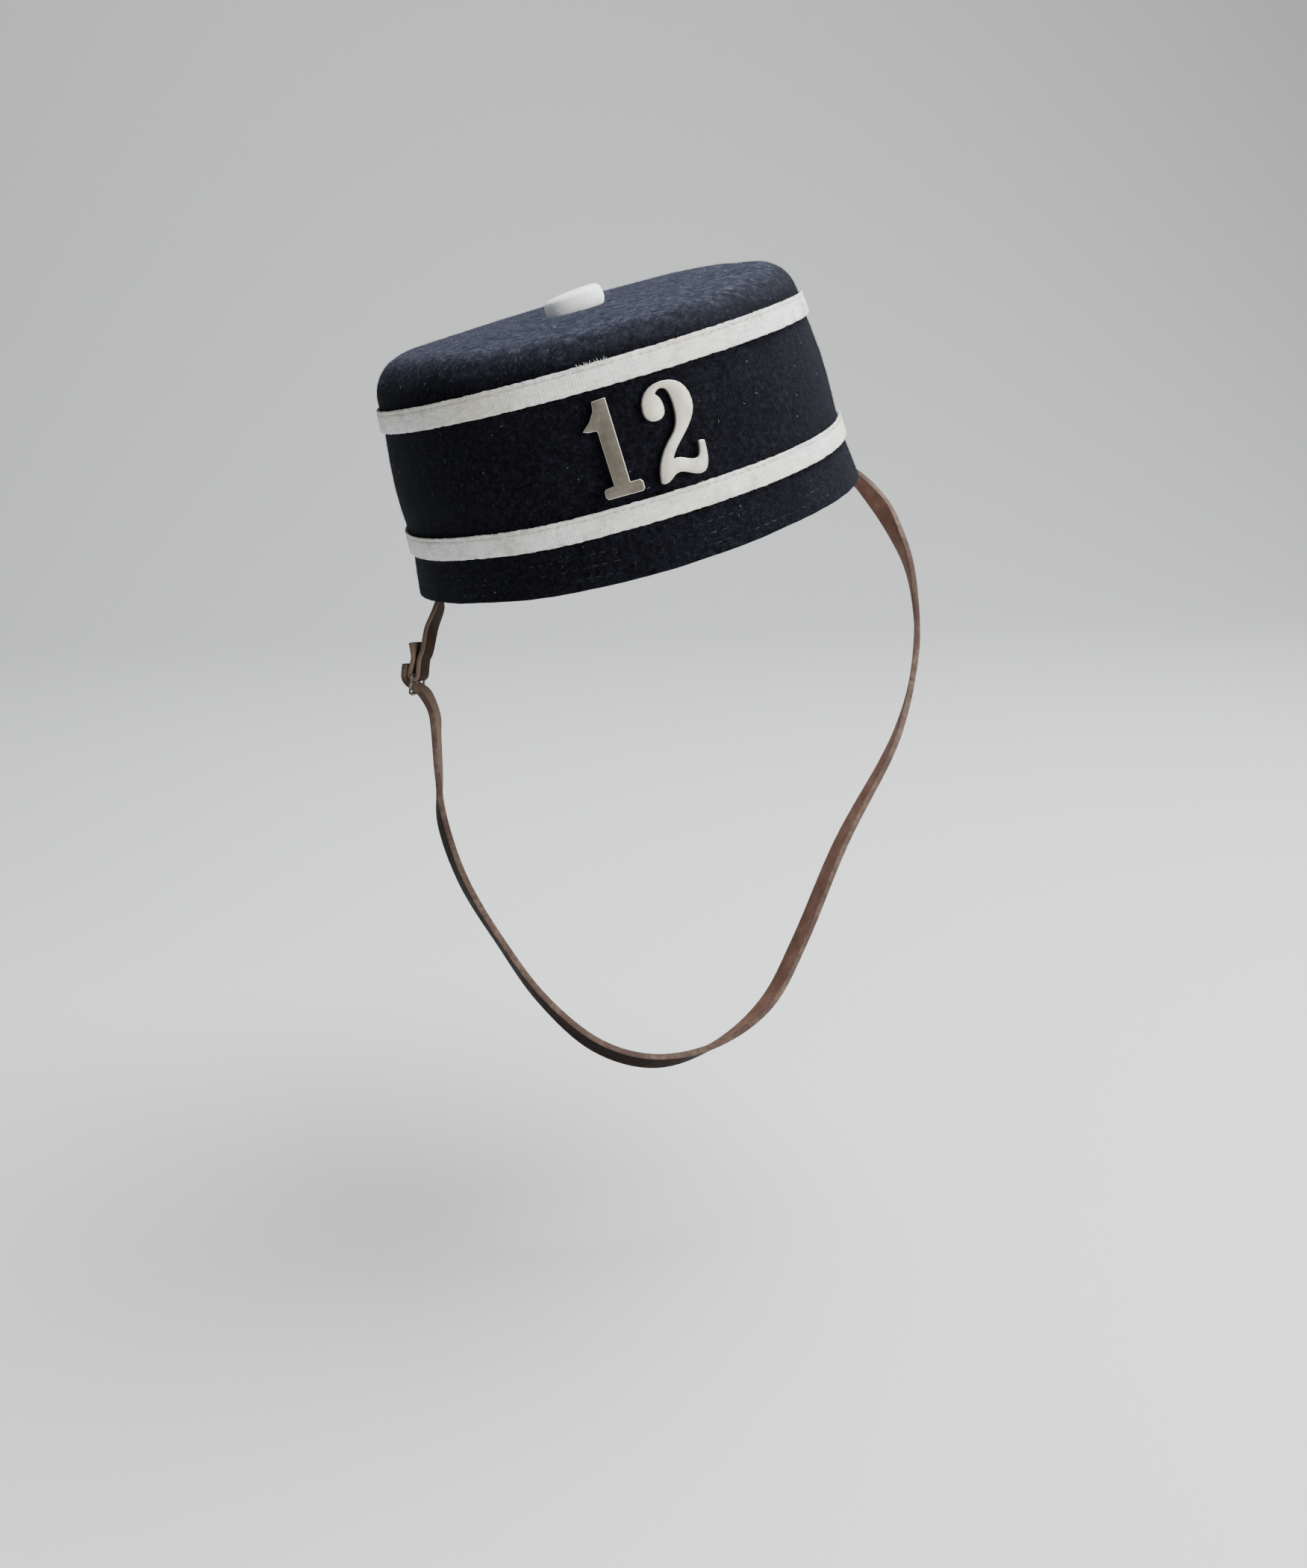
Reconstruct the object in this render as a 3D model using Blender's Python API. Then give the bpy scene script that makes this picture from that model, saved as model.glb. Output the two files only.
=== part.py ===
"""Pillbox hat of navy felt with two white tapes, metal numerals, a covered button and a chin strap.

Metres, +Z up, the front towards -Y. The origin is the middle of the rim, where the hat sits.
The hat is worn cocked to one side, so its own axis leans and the chin strap hangs plumb under it.
"""
import math

import bmesh
import bpy
from mathutils import Matrix, Vector

# Crown
RIM_WIDTH = 0.1552
RIM_LENGTH = 0.1829
TOP_WIDTH = 0.1448
TOP_LENGTH = 0.1709
CROWN_HEIGHT = 0.0778
FELT = 0.0025
SHOULDER_RADIUS = 0.0120
DOME_RISE = 0.0030
SHOULDER_SWAY = 0.0030
SHOULDER_SPREAD = 0.0040
TAPE_PULL = 0.0013
TAPE_SWAY = 0.0010
RIM_LIFT = 0.0010
BUTTON_DIP = 0.0036
HAT_LEAN = math.radians(15.4)

# Tapes
TAPE_WIDTH = 0.0068
TAPE_THICKNESS = 0.0010
TAPE_CORNER = 0.00035
TAPE_EASE = 0.0054
LOWER_TAPE_HEIGHT = 0.0146
UPPER_TAPE_HEIGHT = 0.0560

# Numerals
NUMERAL_HEIGHT = 0.0286
ONE_WIDTH = 0.0133
TWO_WIDTH = 0.0160
ONE_SIDE = -0.0079
TWO_SIDE = 0.0110
NUMERAL_THICKNESS = 0.0017
NUMERAL_BEVEL = 0.0002

# Button
BUTTON_DIAMETER = 0.0204
BUTTON_HEIGHT = 0.0078
BUTTON_LEAN = math.radians(6.0)
BUTTON_ASIDE = 0.0004
SEAT_LEAN = math.radians(3.5)

# Chin strap
STRAP_WIDTH = 0.0070
STRAP_THICKNESS = 0.0021
TAB_THICKNESS = 0.0016
STRAP_CORNER = 0.0003
STRAP_BULGE = 0.0176
LOOP_DROP = 0.1650
LOOP_REACH = 0.0750
EDGE_LIFT = math.radians(18.0)

# Buckle
BUCKLE_WIRE = 0.0010
BUCKLE_BARS = 0.0066
BUCKLE_PLAY = 0.0006
BUCKLE_TURN = math.radians(29.0)
BUCKLE_RISE = (0.25, 0.31, 0.92)
PRONG_WIRE = 0.0009
TAB_RETURN = 0.0106
TAIL_RISE = 0.0031

# Fit and fineness
CLEARANCE = 0.0003
HAT_SIDES = 64
BUTTON_SIDES = 36
SHOULDER_STEPS = 5
WIRE_SIDES = 8
ROUTE_STEPS = 4
FOLD_STEPS = 9

# How the crown differs around its wall: shares of SHOULDER_SWAY for the shoulder's height,
# SHOULDER_SPREAD for its radius, RIM_LIFT for the rim and TAPE_SWAY for the lower tape.
# Azimuth in degrees from the wearer's left side (+X) round by the back.
CROWN_FORM = (
    # azimuth, shoulder, spread, rim, tape
    (0, 0.35, 0.0, 0.0, 0.6),
    (45, 1.1, 0.0, 0.0, 0.0),
    (90, 1.3, 0.2, 0.0, -0.4),
    (135, 1.2, 0.5, 0.0, 0.3),
    (180, 1.1, 0.35, 0.6, 1.0),
    (215, 0.6, 0.45, 1.0, 0.6),
    (245, -0.4, 0.3, 0.0, -0.2),
    (270, -0.8, 0.0, -0.2, 0.1),
    (315, -0.8, 0.0, 0.3, -0.2),
)

# Top of the crown from its middle to the shoulder: share of the way out, share of the button's seat.
DOME_ROWS = (
    # way out, seat
    (0.17, 1.0),
    (0.24, 0.7),
    (0.36, 0.2),
    (0.52, 0.0),
    (0.68, 0.0),
    (0.84, 0.0),
)

# Covered button from its foot to its top, in shares of its radius and height.
BUTTON_PROFILE = (
    # radius, height
    (0.84, 0.00),
    (0.95, 0.14),
    (1.00, 0.40),
    (0.98, 0.60),
    (0.92, 0.74),
    (0.80, 0.85),
    (0.58, 0.94),
    (0.30, 0.985),
)

# Sewn ends of the chin strap and of the buckle's tab, from the inside of the wall to the rim.
# Azimuth in degrees behind the side of the hat, way out in shares of FELT from where the strap
# lies against the wall, height over the rim in shares of STRAP_WIDTH, turn of the upper edge.
STRAP_END_ROWS = (
    # azimuth, out, height, turn
    (42, -0.1, 0.95, 0),
    (35, -0.1, 0.60, 0),
    (28, -0.1, 0.00, 0),
    (20, 0.2, -0.62, 0),
    (12, 1.4, -0.70, 15),
    (5, 2.5, -0.72, 32),
)
TAB_END_ROWS = (
    # azimuth, out, height, turn
    (42, -0.1, 0.95, 0),
    (35, -0.1, 0.65, 0),
    (27, -0.1, 0.30, 0),
    (13, -0.3, -0.20, 10),
    (0, -0.8, -0.70, 42),
)

# Free loop of the chin strap from its right end to the buckle, and the tab down to the buckle,
# in shares of the loop's half span, LOOP_REACH and LOOP_DROP.
# The last column turns the front edge, in degrees: more shows the inner side of the strap.
LOOP_ROWS = (
    # side, forward, down, turn
    (0.903, -0.009, -0.043, 34),
    (0.954, 0.076, 0.018, 14),
    (0.983, 0.149, 0.073, -2),
    (0.994, 0.221, 0.136, -12),
    (0.992, 0.293, 0.209, -16),
    (0.961, 0.385, 0.291, -14),
    (0.909, 0.477, 0.368, -6),
    (0.833, 0.568, 0.445, 5),
    (0.657, 0.699, 0.599, 17),
    (0.499, 0.813, 0.785, 23),
    (0.371, 0.890, 0.905, 20),
    (0.186, 0.955, 0.976, -5),
    (-0.026, 0.987, 1.000, -31),
    (-0.231, 0.956, 0.966, -30),
    (-0.413, 0.910, 0.871, -17),
    (-0.552, 0.819, 0.760, -9),
    (-0.669, 0.702, 0.650, -14),
    (-0.735, 0.550, 0.544, -15),
    (-0.742, 0.413, 0.465, 7),
    (-0.746, 0.309, 0.390, 13),
    (-0.751, 0.250, 0.352, 20),
)
TAB_ROWS = (
    # side, forward, down
    (-0.751, 0.096, 0.191),
    (-0.768, 0.145, 0.229),
)
BUCKLE_PLACE = (-0.803, 0.160, 0.279)

# Chin strap's way up through the buckle and over the fold, in shares of its lap round the fold,
# the first rows from the middle of the window below it.
WINDOW_ROWS = (
    # out, up
    (-0.90, -0.50),
    (0.00, 0.00),
)
LAP_ROWS = (
    # out, up
    (0.66, -0.78),
    (0.95, -0.38),
    (1.00, 0.00),
)

# End of the tab laid back up outside: way out in shares of the fold's radius, up of TAB_RETURN.
RETURN_ROWS = (
    # out, up
    (0.80, 0.28),
    (0.55, 0.50),
    (0.95, 0.76),
    (1.50, 1.00),
)

# Outlines of the numerals, in shares of their width and height, from the foot's left corner.
# Each row is the end of a line, or of a curve with its two handles.
ONE_OUTLINE = (
    # x, z
    (0.165, 0.000),
    (0.950, 0.000),
    (1.000, 0.022),
    (1.000, 0.095),
    (0.945, 0.122),
    (0.722, 0.122),
    (0.668, 1.000),
    (0.353, 0.993),
    (0.330, 0.900),
    (0.205, 0.808),
    (0.000, 0.724),
    (0.110, 0.702),
    (0.300, 0.700),
    (0.316, 0.675),
    (0.353, 0.122),
    (0.150, 0.110),
    (0.113, 0.088),
    (0.113, 0.025),
)
TWO_START = (0.030, 0.760)
TWO_OUTLINE = (
    # first handle x, z, second handle x, z, end x, z
    (0.030, 0.900, 0.220, 1.000, 0.500, 1.000),
    (0.800, 1.000, 0.980, 0.900, 0.980, 0.735),
    (0.980, 0.600, 0.800, 0.500, 0.560, 0.375),
    (0.440, 0.310, 0.360, 0.260, 0.330, 0.215),
    (0.450, 0.250, 0.600, 0.160, 0.740, 0.160),
    (0.840, 0.160, 0.870, 0.220, 0.890, 0.325),
    (0.930, 0.325, 0.970, 0.318, 1.000, 0.310),
    (1.000, 0.130, 0.950, 0.000, 0.780, 0.000),
    (0.630, 0.000, 0.520, 0.075, 0.380, 0.075),
    (0.250, 0.075, 0.200, 0.000, 0.060, 0.000),
    (0.030, 0.000, 0.000, 0.010, 0.000, 0.035),
    (0.020, 0.200, 0.200, 0.340, 0.420, 0.445),
    (0.560, 0.510, 0.620, 0.610, 0.620, 0.730),
    (0.620, 0.870, 0.580, 0.935, 0.470, 0.935),
    (0.400, 0.935, 0.360, 0.920, 0.330, 0.890),
    (0.400, 0.860, 0.430, 0.810, 0.430, 0.745),
    (0.430, 0.670, 0.350, 0.630, 0.230, 0.630),
    (0.110, 0.630, 0.030, 0.680, 0.030, 0.760),
)
CURVE_STEPS = 6

COLOURS = {
    # name: red, green, blue, roughness, metallic
    "navy_felt": (0.012, 0.013, 0.024, 0.95, 0.0),
    "white_tape": (0.66, 0.65, 0.61, 0.85, 0.0),
    "dull_nickel": (0.42, 0.39, 0.34, 0.42, 0.9),
    "pale_nickel": (0.58, 0.56, 0.49, 0.38, 0.9),
    "white_cloth": (0.78, 0.77, 0.73, 0.8, 0.0),
    "brown_leather": (0.16, 0.09, 0.06, 0.6, 0.0),
    "dark_metal": (0.09, 0.09, 0.08, 0.4, 0.8),
}


def clear_scene():
    """Remove whatever the scene holds."""
    for thing in list(bpy.data.objects):
        bpy.data.objects.remove(thing, do_unlink=True)


def make_material(name):
    """Plain shader in one of the hat's colours."""
    red, green, blue, roughness, metallic = COLOURS[name]
    material = bpy.data.materials.new(name)
    material.use_nodes = True
    shader = material.node_tree.nodes["Principled BSDF"]
    shader.inputs["Base Color"].default_value = (red, green, blue, 1.0)
    shader.inputs["Roughness"].default_value = roughness
    shader.inputs["Metallic"].default_value = metallic
    return material


def make_object(name, bm, colour, parent=None):
    """Turn a closed mesh into a named object with its own material."""
    bmesh.ops.recalc_face_normals(bm, faces=bm.faces)
    mesh = bpy.data.meshes.new(name)
    bm.to_mesh(mesh)
    bm.free()
    mesh.materials.append(make_material(colour))
    mesh.shade_smooth()
    mesh.set_sharp_from_angle(angle=math.radians(35))
    thing = bpy.data.objects.new(name, mesh)
    bpy.context.scene.collection.objects.link(thing)
    thing.parent = parent
    return thing


def skin(bm, rings, first=None, last=None, closed=False):
    """Join rings of points with quads; ends close on a point, a flat face, or each other."""
    rows = [[bm.verts.new(point) for point in ring] for ring in rings]
    pairs = list(zip(rows, rows[1:]))
    if closed:
        pairs.append((rows[-1], rows[0]))
    for below, above in pairs:
        for here in range(len(below)):
            there = (here + 1) % len(below)
            bm.faces.new((below[here], below[there], above[there], above[here]))
    for row, pole in ((rows[0], first), (rows[-1], last)):
        if pole is None:
            continue
        tip = bm.verts.new(pole)
        for here in range(len(row)):
            bm.faces.new((row[here], row[(here + 1) % len(row)], tip))
    return rows


def form_value(azimuth, column):
    """Read a column of CROWN_FORM at an azimuth in radians, eased between its rows."""
    degrees = math.degrees(azimuth) % 360.0
    around = CROWN_FORM + ((CROWN_FORM[0][0] + 360,) + CROWN_FORM[0][1:],)
    for low, high in zip(around, around[1:]):
        if low[0] <= degrees <= high[0]:
            share = (degrees - low[0]) / (high[0] - low[0])
            ease = 0.5 - 0.5 * math.cos(math.pi * share)
            return low[column] + (high[column] - low[column]) * ease
    return CROWN_FORM[0][column]


def tape_pull(height):
    """How far the sewn tapes draw the wall in at a height: fully under each, easing off beyond."""
    pull = 0.0
    for foot in (LOWER_TAPE_HEIGHT, UPPER_TAPE_HEIGHT):
        apart = max(abs(height - foot - TAPE_WIDTH / 2.0) - TAPE_WIDTH / 2.0, 0.0)
        pull = max(pull, TAPE_PULL * math.exp(-(apart / TAPE_WIDTH) ** 2))
    return pull


def half_axes(height):
    """Half width and half length of the wall's outside at a height over the rim."""
    share = height / CROWN_HEIGHT
    across = RIM_WIDTH + (TOP_WIDTH - RIM_WIDTH) * share
    along = RIM_LENGTH + (TOP_LENGTH - RIM_LENGTH) * share
    pull = tape_pull(height)
    return across / 2.0 - pull, along / 2.0 - pull


def wall_normal(azimuth, height=0.0):
    """Level direction out of the wall."""
    across, along = half_axes(height)
    return Vector((math.cos(azimuth) / across, math.sin(azimuth) / along, 0.0)).normalized()


def wall_point(azimuth, height, outward=0.0):
    """Point of the hat's wall, moved outward by a distance, in the hat's own frame."""
    across, along = half_axes(height)
    foot = Vector((across * math.cos(azimuth), along * math.sin(azimuth), height))
    return foot + wall_normal(azimuth, height) * outward


def shoulder_top(azimuth):
    """Height where the rounded shoulder runs into the top."""
    return CROWN_HEIGHT - DOME_RISE + SHOULDER_SWAY * form_value(azimuth, 1)


def seat_height(side):
    """Height of the felt under the button, at a distance to the wearer's left of its middle."""
    return CROWN_HEIGHT - BUTTON_DIP + side * math.tan(SEAT_LEAN)


def dome_height(azimuth, out, seat, side):
    """Height of the top between its middle and the shoulder."""
    open_top = CROWN_HEIGHT + (shoulder_top(azimuth) - CROWN_HEIGHT) * out ** 2
    return seat * seat_height(side) + (1.0 - seat) * open_top


def wall_rings():
    """Heights of the wall's rings: at the edges of the tapes and halfway between."""
    heights = []
    for foot in (LOWER_TAPE_HEIGHT, UPPER_TAPE_HEIGHT):
        heights += [foot - TAPE_EASE, foot, foot + TAPE_WIDTH, foot + TAPE_WIDTH + TAPE_EASE]
    heights.insert(4, 0.5 * (LOWER_TAPE_HEIGHT + UPPER_TAPE_HEIGHT + TAPE_WIDTH))
    return heights[:-1]


def crown_column(azimuth, inset):
    """Points up one side of the crown, from the rim to the edge of the button's seat."""
    full = SHOULDER_RADIUS + SHOULDER_SPREAD * form_value(azimuth, 2)
    radius = full - inset
    spring = shoulder_top(azimuth) - full
    column = [wall_point(azimuth, RIM_LIFT * form_value(azimuth, 3), -inset)]
    for height in wall_rings():
        column.append(wall_point(azimuth, height, -inset))
    for step in range(SHOULDER_STEPS + 1):
        turn = 0.5 * math.pi * step / SHOULDER_STEPS
        edge = wall_point(azimuth, spring, radius * math.cos(turn) - full)
        edge.z = spring + radius * math.sin(turn)
        column.append(edge)
    rim_of_top = column[-1]
    for out, seat in reversed(DOME_ROWS):
        point = rim_of_top * out
        point.z = dome_height(azimuth, out, seat, point.x) - inset
        column.append(point)
    return column


def build_crown(tilt):
    """Blocked felt shell: leaning wall, soft shoulder, gently domed top, open below."""
    azimuths = [2.0 * math.pi * side / HAT_SIDES for side in range(HAT_SIDES)]
    outer = list(zip(*(crown_column(azimuth, 0.0) for azimuth in azimuths)))
    inner = list(zip(*(crown_column(azimuth, FELT) for azimuth in azimuths)))
    bm = bmesh.new()
    middle = Vector((0.0, 0.0, seat_height(0.0)))
    rings = list(reversed(inner)) + outer
    skin(bm, rings, first=middle - Vector((0.0, 0.0, FELT)), last=middle)
    return make_object("felt_crown", bm, "navy_felt", tilt)


def build_tape(name, height, sway, tilt):
    """Woven tape laid round the wall, hand sewn and so not quite level."""
    near, far = CLEARANCE, CLEARANCE + TAPE_THICKNESS
    round_off = far - TAPE_CORNER
    section = (
        (near, 0.0), (round_off, 0.0), (far, TAPE_CORNER),
        (far, TAPE_WIDTH - TAPE_CORNER), (round_off, TAPE_WIDTH), (near, TAPE_WIDTH),
    )
    rings = []
    for side in range(HAT_SIDES):
        azimuth = 2.0 * math.pi * side / HAT_SIDES
        foot = height + sway * form_value(azimuth, 4)
        rings.append([wall_point(azimuth, foot + up, out) for out, up in section])
    bm = bmesh.new()
    skin(bm, rings, closed=True)
    return make_object(name, bm, "white_tape", tilt)


def curve_points(start, rows):
    """Points along an outline of cubic curves."""
    points = []
    at = Vector(start)
    for row in rows:
        one, two, end = Vector(row[0:2]), Vector(row[2:4]), Vector(row[4:6])
        for step in range(1, CURVE_STEPS + 1):
            t = step / CURVE_STEPS
            u = 1.0 - t
            points.append(u ** 3 * at + 3 * u * u * t * one + 3 * u * t * t * two + t ** 3 * end)
        at = end
    return points


def wall_seat(side, height):
    """Placement on the front wall: local X along it, Y into the hat, Z up its slope."""
    across, _ = half_axes(height)
    azimuth = -math.acos(side / across)
    normal = wall_normal(azimuth, height)
    rise = (wall_point(azimuth, height + TAPE_WIDTH) - wall_point(azimuth, height)).normalized()
    along = rise.cross(normal)
    depth = rise.cross(along)
    axes = Matrix((along, depth, rise)).transposed().to_4x4()
    return Matrix.Translation(wall_point(azimuth, height)) @ axes


def build_numeral(name, outline, width, side, colour, tilt):
    """Flat die-cut numeral with a small bevel, standing just off the felt."""
    panel = 0.5 * (LOWER_TAPE_HEIGHT + UPPER_TAPE_HEIGHT + TAPE_WIDTH)
    back = -CLEARANCE
    bm = bmesh.new()
    verts = [bm.verts.new(((x - 0.5) * width, back, (z - 0.5) * NUMERAL_HEIGHT)) for x, z in outline]
    face = bm.faces.new(verts)
    made = bmesh.ops.extrude_face_region(bm, geom=[face])
    front = [item for item in made["geom"] if isinstance(item, bmesh.types.BMFace)]
    lift = [item for item in made["geom"] if isinstance(item, bmesh.types.BMVert)]
    straight = NUMERAL_THICKNESS - NUMERAL_BEVEL
    bmesh.ops.translate(bm, verts=lift, vec=(0.0, -straight, 0.0))
    bmesh.ops.recalc_face_normals(bm, faces=bm.faces)
    bmesh.ops.inset_region(bm, faces=front, thickness=NUMERAL_BEVEL, depth=NUMERAL_BEVEL)
    bmesh.ops.triangulate(bm, faces=bm.faces)
    numeral = make_object(name, bm, colour, tilt)
    numeral.matrix_local = wall_seat(side, panel)
    return numeral


def build_button(tilt):
    """Covered button sewn down in the middle of the top, pulled a little to one side."""
    rings = []
    for radius, height in BUTTON_PROFILE:
        ring = []
        for side in range(BUTTON_SIDES):
            turn = 2.0 * math.pi * side / BUTTON_SIDES
            reach = radius * BUTTON_DIAMETER / 2.0
            ring.append(Vector((reach * math.cos(turn), reach * math.sin(turn), height * BUTTON_HEIGHT)))
        rings.append(ring)
    bm = bmesh.new()
    skin(bm, rings, first=(0.0, 0.0, 0.0), last=(0.0, 0.0, BUTTON_HEIGHT))
    button = make_object("top_button", bm, "white_cloth", tilt)
    foot = BUTTON_PROFILE[0][0] * BUTTON_DIAMETER / 2.0
    button.rotation_euler = (0.0, -BUTTON_LEAN, 0.0)
    lift = seat_height(BUTTON_ASIDE - foot) + foot * math.sin(BUTTON_LEAN) + CLEARANCE
    button.location = (BUTTON_ASIDE, 0.0, lift)
    return button


def worn(point):
    """Turn a point of the hat's own frame into the worn, leaning place."""
    return Matrix.Rotation(-HAT_LEAN, 3, "Y") @ Vector(point)


def smooth_route(points, steps):
    """Evenly eased points on a curve through the given ones, ends included."""
    padded = [points[0] * 2 - points[1]] + list(points) + [points[-1] * 2 - points[-2]]
    route = []
    for first, here, there, last in zip(padded, padded[1:], padded[2:], padded[3:]):
        for step in range(steps):
            t = step / steps
            pull = (there - first) * 0.5
            push = (last - here) * 0.5
            route.append(
                here * (2 * t ** 3 - 3 * t ** 2 + 1) + pull * (t ** 3 - 2 * t ** 2 + t)
                + there * (-2 * t ** 3 + 3 * t ** 2) + push * (t ** 3 - t ** 2)
            )
    route.append(points[-1].copy())
    return route


def build_strap(name, centres, edges, thickness):
    """Leather strip swept along its middle line, its front edge turned as given."""
    half = STRAP_WIDTH / 2.0
    thick = thickness / 2.0
    nick = STRAP_CORNER
    section = (
        (half, thick - nick), (half - nick, thick), (nick - half, thick), (-half, thick - nick),
        (-half, nick - thick), (nick - half, -thick), (half - nick, -thick), (half, nick - thick),
    )
    rings = []
    for index, centre in enumerate(centres):
        before = centres[max(index - 1, 0)]
        after = centres[min(index + 1, len(centres) - 1)]
        run = (after - before).normalized()
        edge = (edges[index] - run * edges[index].dot(run)).normalized()
        face = run.cross(edge)
        rings.append([centre + edge * wide + face * deep for wide, deep in section])
    bm = bmesh.new()
    rows = skin(bm, rings)
    bm.faces.new(rows[0])
    bm.faces.new(rows[-1])
    return make_object(name, bm, "brown_leather")


def half_span():
    """Half the width of the chin strap's loop at its widest."""
    return RIM_WIDTH / 2.0 + STRAP_BULGE


def loop_point(row):
    """Place of a row of the loop, of the tab or of the buckle."""
    side, forward, down = row[0:3]
    return Vector((side * half_span(), -forward * LOOP_REACH, -down * LOOP_DROP))


def wall_end(rows, side, thickness):
    """Middle line and front edge of a strap's end, from the wall's inside out to the rim."""
    inside = FELT + CLEARANCE + thickness / 2.0
    centres, edges = [], []
    for azimuth, out, height, turn in rows:
        upper_edge = (height + 0.5) * STRAP_WIDTH
        point = wall_point(math.radians(azimuth), upper_edge, out * FELT - inside)
        centres.append(worn((side * point.x, point.y, height * STRAP_WIDTH)))
        lean = math.radians(turn)
        edges.append(worn((0.0, -math.sin(lean), math.cos(lean))))
    return centres, edges


def forward_edge(run, turn):
    """Direction of a strap's front edge: forward and a little up, turned about its run."""
    ahead = Vector((0.0, -math.cos(EDGE_LIFT), math.sin(EDGE_LIFT)))
    level = (ahead - run * ahead.dot(run)).normalized()
    return Matrix.Rotation(-turn, 3, run) @ level


class Buckle:
    """Place and directions of the buckle: along its bars, up from bar to bar, and outward."""

    def __init__(self):
        along = Vector((-math.sin(BUCKLE_TURN), -math.cos(BUCKLE_TURN), math.sin(EDGE_LIFT) / 2.0))
        self.edge = along.normalized()
        rise = Vector(BUCKLE_RISE)
        self.up = (rise - self.edge * rise.dot(self.edge)).normalized()
        self.out = self.edge.cross(self.up)
        self.middle = loop_point(BUCKLE_PLACE)
        self.fold = (BUCKLE_WIRE + TAB_THICKNESS) / 2.0 + CLEARANCE
        self.fold_back = self.fold + TAB_THICKNESS / 2.0
        self.lap = self.fold_back + CLEARANCE + STRAP_THICKNESS / 2.0

    def at(self, out, up):
        """Point in the plane across the middle of the buckle's bars."""
        return self.middle + self.out * out + self.up * up

    def around(self, radius, turn):
        """Point round the upper bar, from straight out of the buckle downwards."""
        return self.at(radius * math.cos(turn), -radius * math.sin(turn))


def build_tab(buckle):
    """Short strap from inside the hat, folded round the upper bar and laid back up outside."""
    fold = buckle.fold
    centres, edges = wall_end(TAB_END_ROWS, -1, TAB_THICKNESS)
    down = centres + [loop_point(row) for row in TAB_ROWS]
    down += [buckle.at(-fold, TAB_RETURN / 2.0), buckle.at(-fold, 0.0)]
    turns = edges + [buckle.edge] * (len(down) - len(edges))
    route = smooth_route(down, ROUTE_STEPS)
    edges = smooth_route(turns, ROUTE_STEPS)
    route += [buckle.around(fold, math.pi * step / FOLD_STEPS) for step in range(FOLD_STEPS - 1, 0, -1)]
    back = [buckle.at(fold, 0.0)]
    back += [buckle.at(out * fold, up * TAB_RETURN) for out, up in RETURN_ROWS]
    route += smooth_route(back, ROUTE_STEPS)
    edges += [buckle.edge] * (len(route) - len(edges))
    return build_strap("buckle_tab", route, edges, TAB_THICKNESS)


def build_chin_strap(buckle):
    """Long strap from inside the hat, down in a loop and up through the buckle."""
    centres, edges = wall_end(STRAP_END_ROWS, 1, STRAP_THICKNESS)
    loop = [loop_point(row) for row in LOOP_ROWS]
    gate = 0.5 * (buckle.fold_back + BUCKLE_BARS - BUCKLE_WIRE / 2.0)
    threaded = [buckle.at(out * buckle.lap, up * buckle.lap - gate) for out, up in WINDOW_ROWS]
    threaded += [buckle.at(out * buckle.lap, up * buckle.lap) for out, up in LAP_ROWS]
    threaded.append(buckle.at(buckle.lap, TAIL_RISE))
    route = centres + loop + threaded
    for index, row in enumerate(LOOP_ROWS):
        here = len(centres) + index
        run = (route[here + 1] - route[here - 1]).normalized()
        edges.append(forward_edge(run, math.radians(row[3])))
    edges += [buckle.edge] * len(threaded)
    route = smooth_route(route, ROUTE_STEPS)
    edges = smooth_route(edges, ROUTE_STEPS)
    return build_strap("chin_strap", route, edges, STRAP_THICKNESS)


def wire_rings(points, runs, side_way, wire):
    """Round sections of a wire at its points."""
    rings = []
    for point, run in zip(points, runs):
        aside = run.cross(side_way).normalized()
        ring = []
        for part in range(WIRE_SIDES):
            turn = 2.0 * math.pi * part / WIRE_SIDES
            ring.append(point + (aside * math.cos(turn) + side_way * math.sin(turn)) * wire / 2.0)
        rings.append(ring)
    return rings


def build_buckle_frame(buckle):
    """Ring of bent wire: the upper bar lies in the tab's fold, the strap passes over the lower."""
    corner = BUCKLE_WIRE
    half_wide = (STRAP_WIDTH + BUCKLE_WIRE) / 2.0 + BUCKLE_PLAY - corner
    half_tall = BUCKLE_BARS / 2.0 - corner
    centre = buckle.at(0.0, -BUCKLE_BARS / 2.0)
    points, runs = [], []
    for quarter, (wide, tall) in enumerate(((1, 1), (-1, 1), (-1, -1), (1, -1))):
        for step in range(4):
            turn = 0.5 * math.pi * (quarter + step / 3.0)
            along = wide * half_wide + corner * math.cos(turn)
            up = tall * half_tall + corner * math.sin(turn)
            points.append(centre + buckle.edge * along + buckle.up * up)
            runs.append(buckle.up * math.cos(turn) - buckle.edge * math.sin(turn))
    bm = bmesh.new()
    skin(bm, wire_rings(points, runs, buckle.out, BUCKLE_WIRE), closed=True)
    return make_object("buckle_frame", bm, "dark_metal")


def prong_ends(buckle):
    """Ends of the prong's middle line: by the upper bar, and past the outside of the lower one."""
    clear = (BUCKLE_WIRE + PRONG_WIRE) / 2.0 + CLEARANCE
    root = buckle.at(0.0, -clear)
    foot = buckle.at(clear, -BUCKLE_BARS)
    past = (foot - root).normalized() * BUCKLE_WIRE
    return root, foot + past


def build_pin(name, buckle, wire, stretch):
    """Straight pin along the prong's line, lengthened at both ends."""
    root, foot = prong_ends(buckle)
    run = (foot - root).normalized()
    points = [root - run * stretch, foot + run * stretch]
    bm = bmesh.new()
    rows = skin(bm, wire_rings(points, [run, run], buckle.edge, wire))
    bm.faces.new(rows[0])
    bm.faces.new(rows[-1])
    return make_object(name, bm, "dark_metal")


def cut_for_prong(thing, cutter):
    """Hole through the leather for the prong."""
    cut = thing.modifiers.new("prong_hole", "BOOLEAN")
    cut.operation = "DIFFERENCE"
    cut.solver = "EXACT"
    cut.object = cutter


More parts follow.
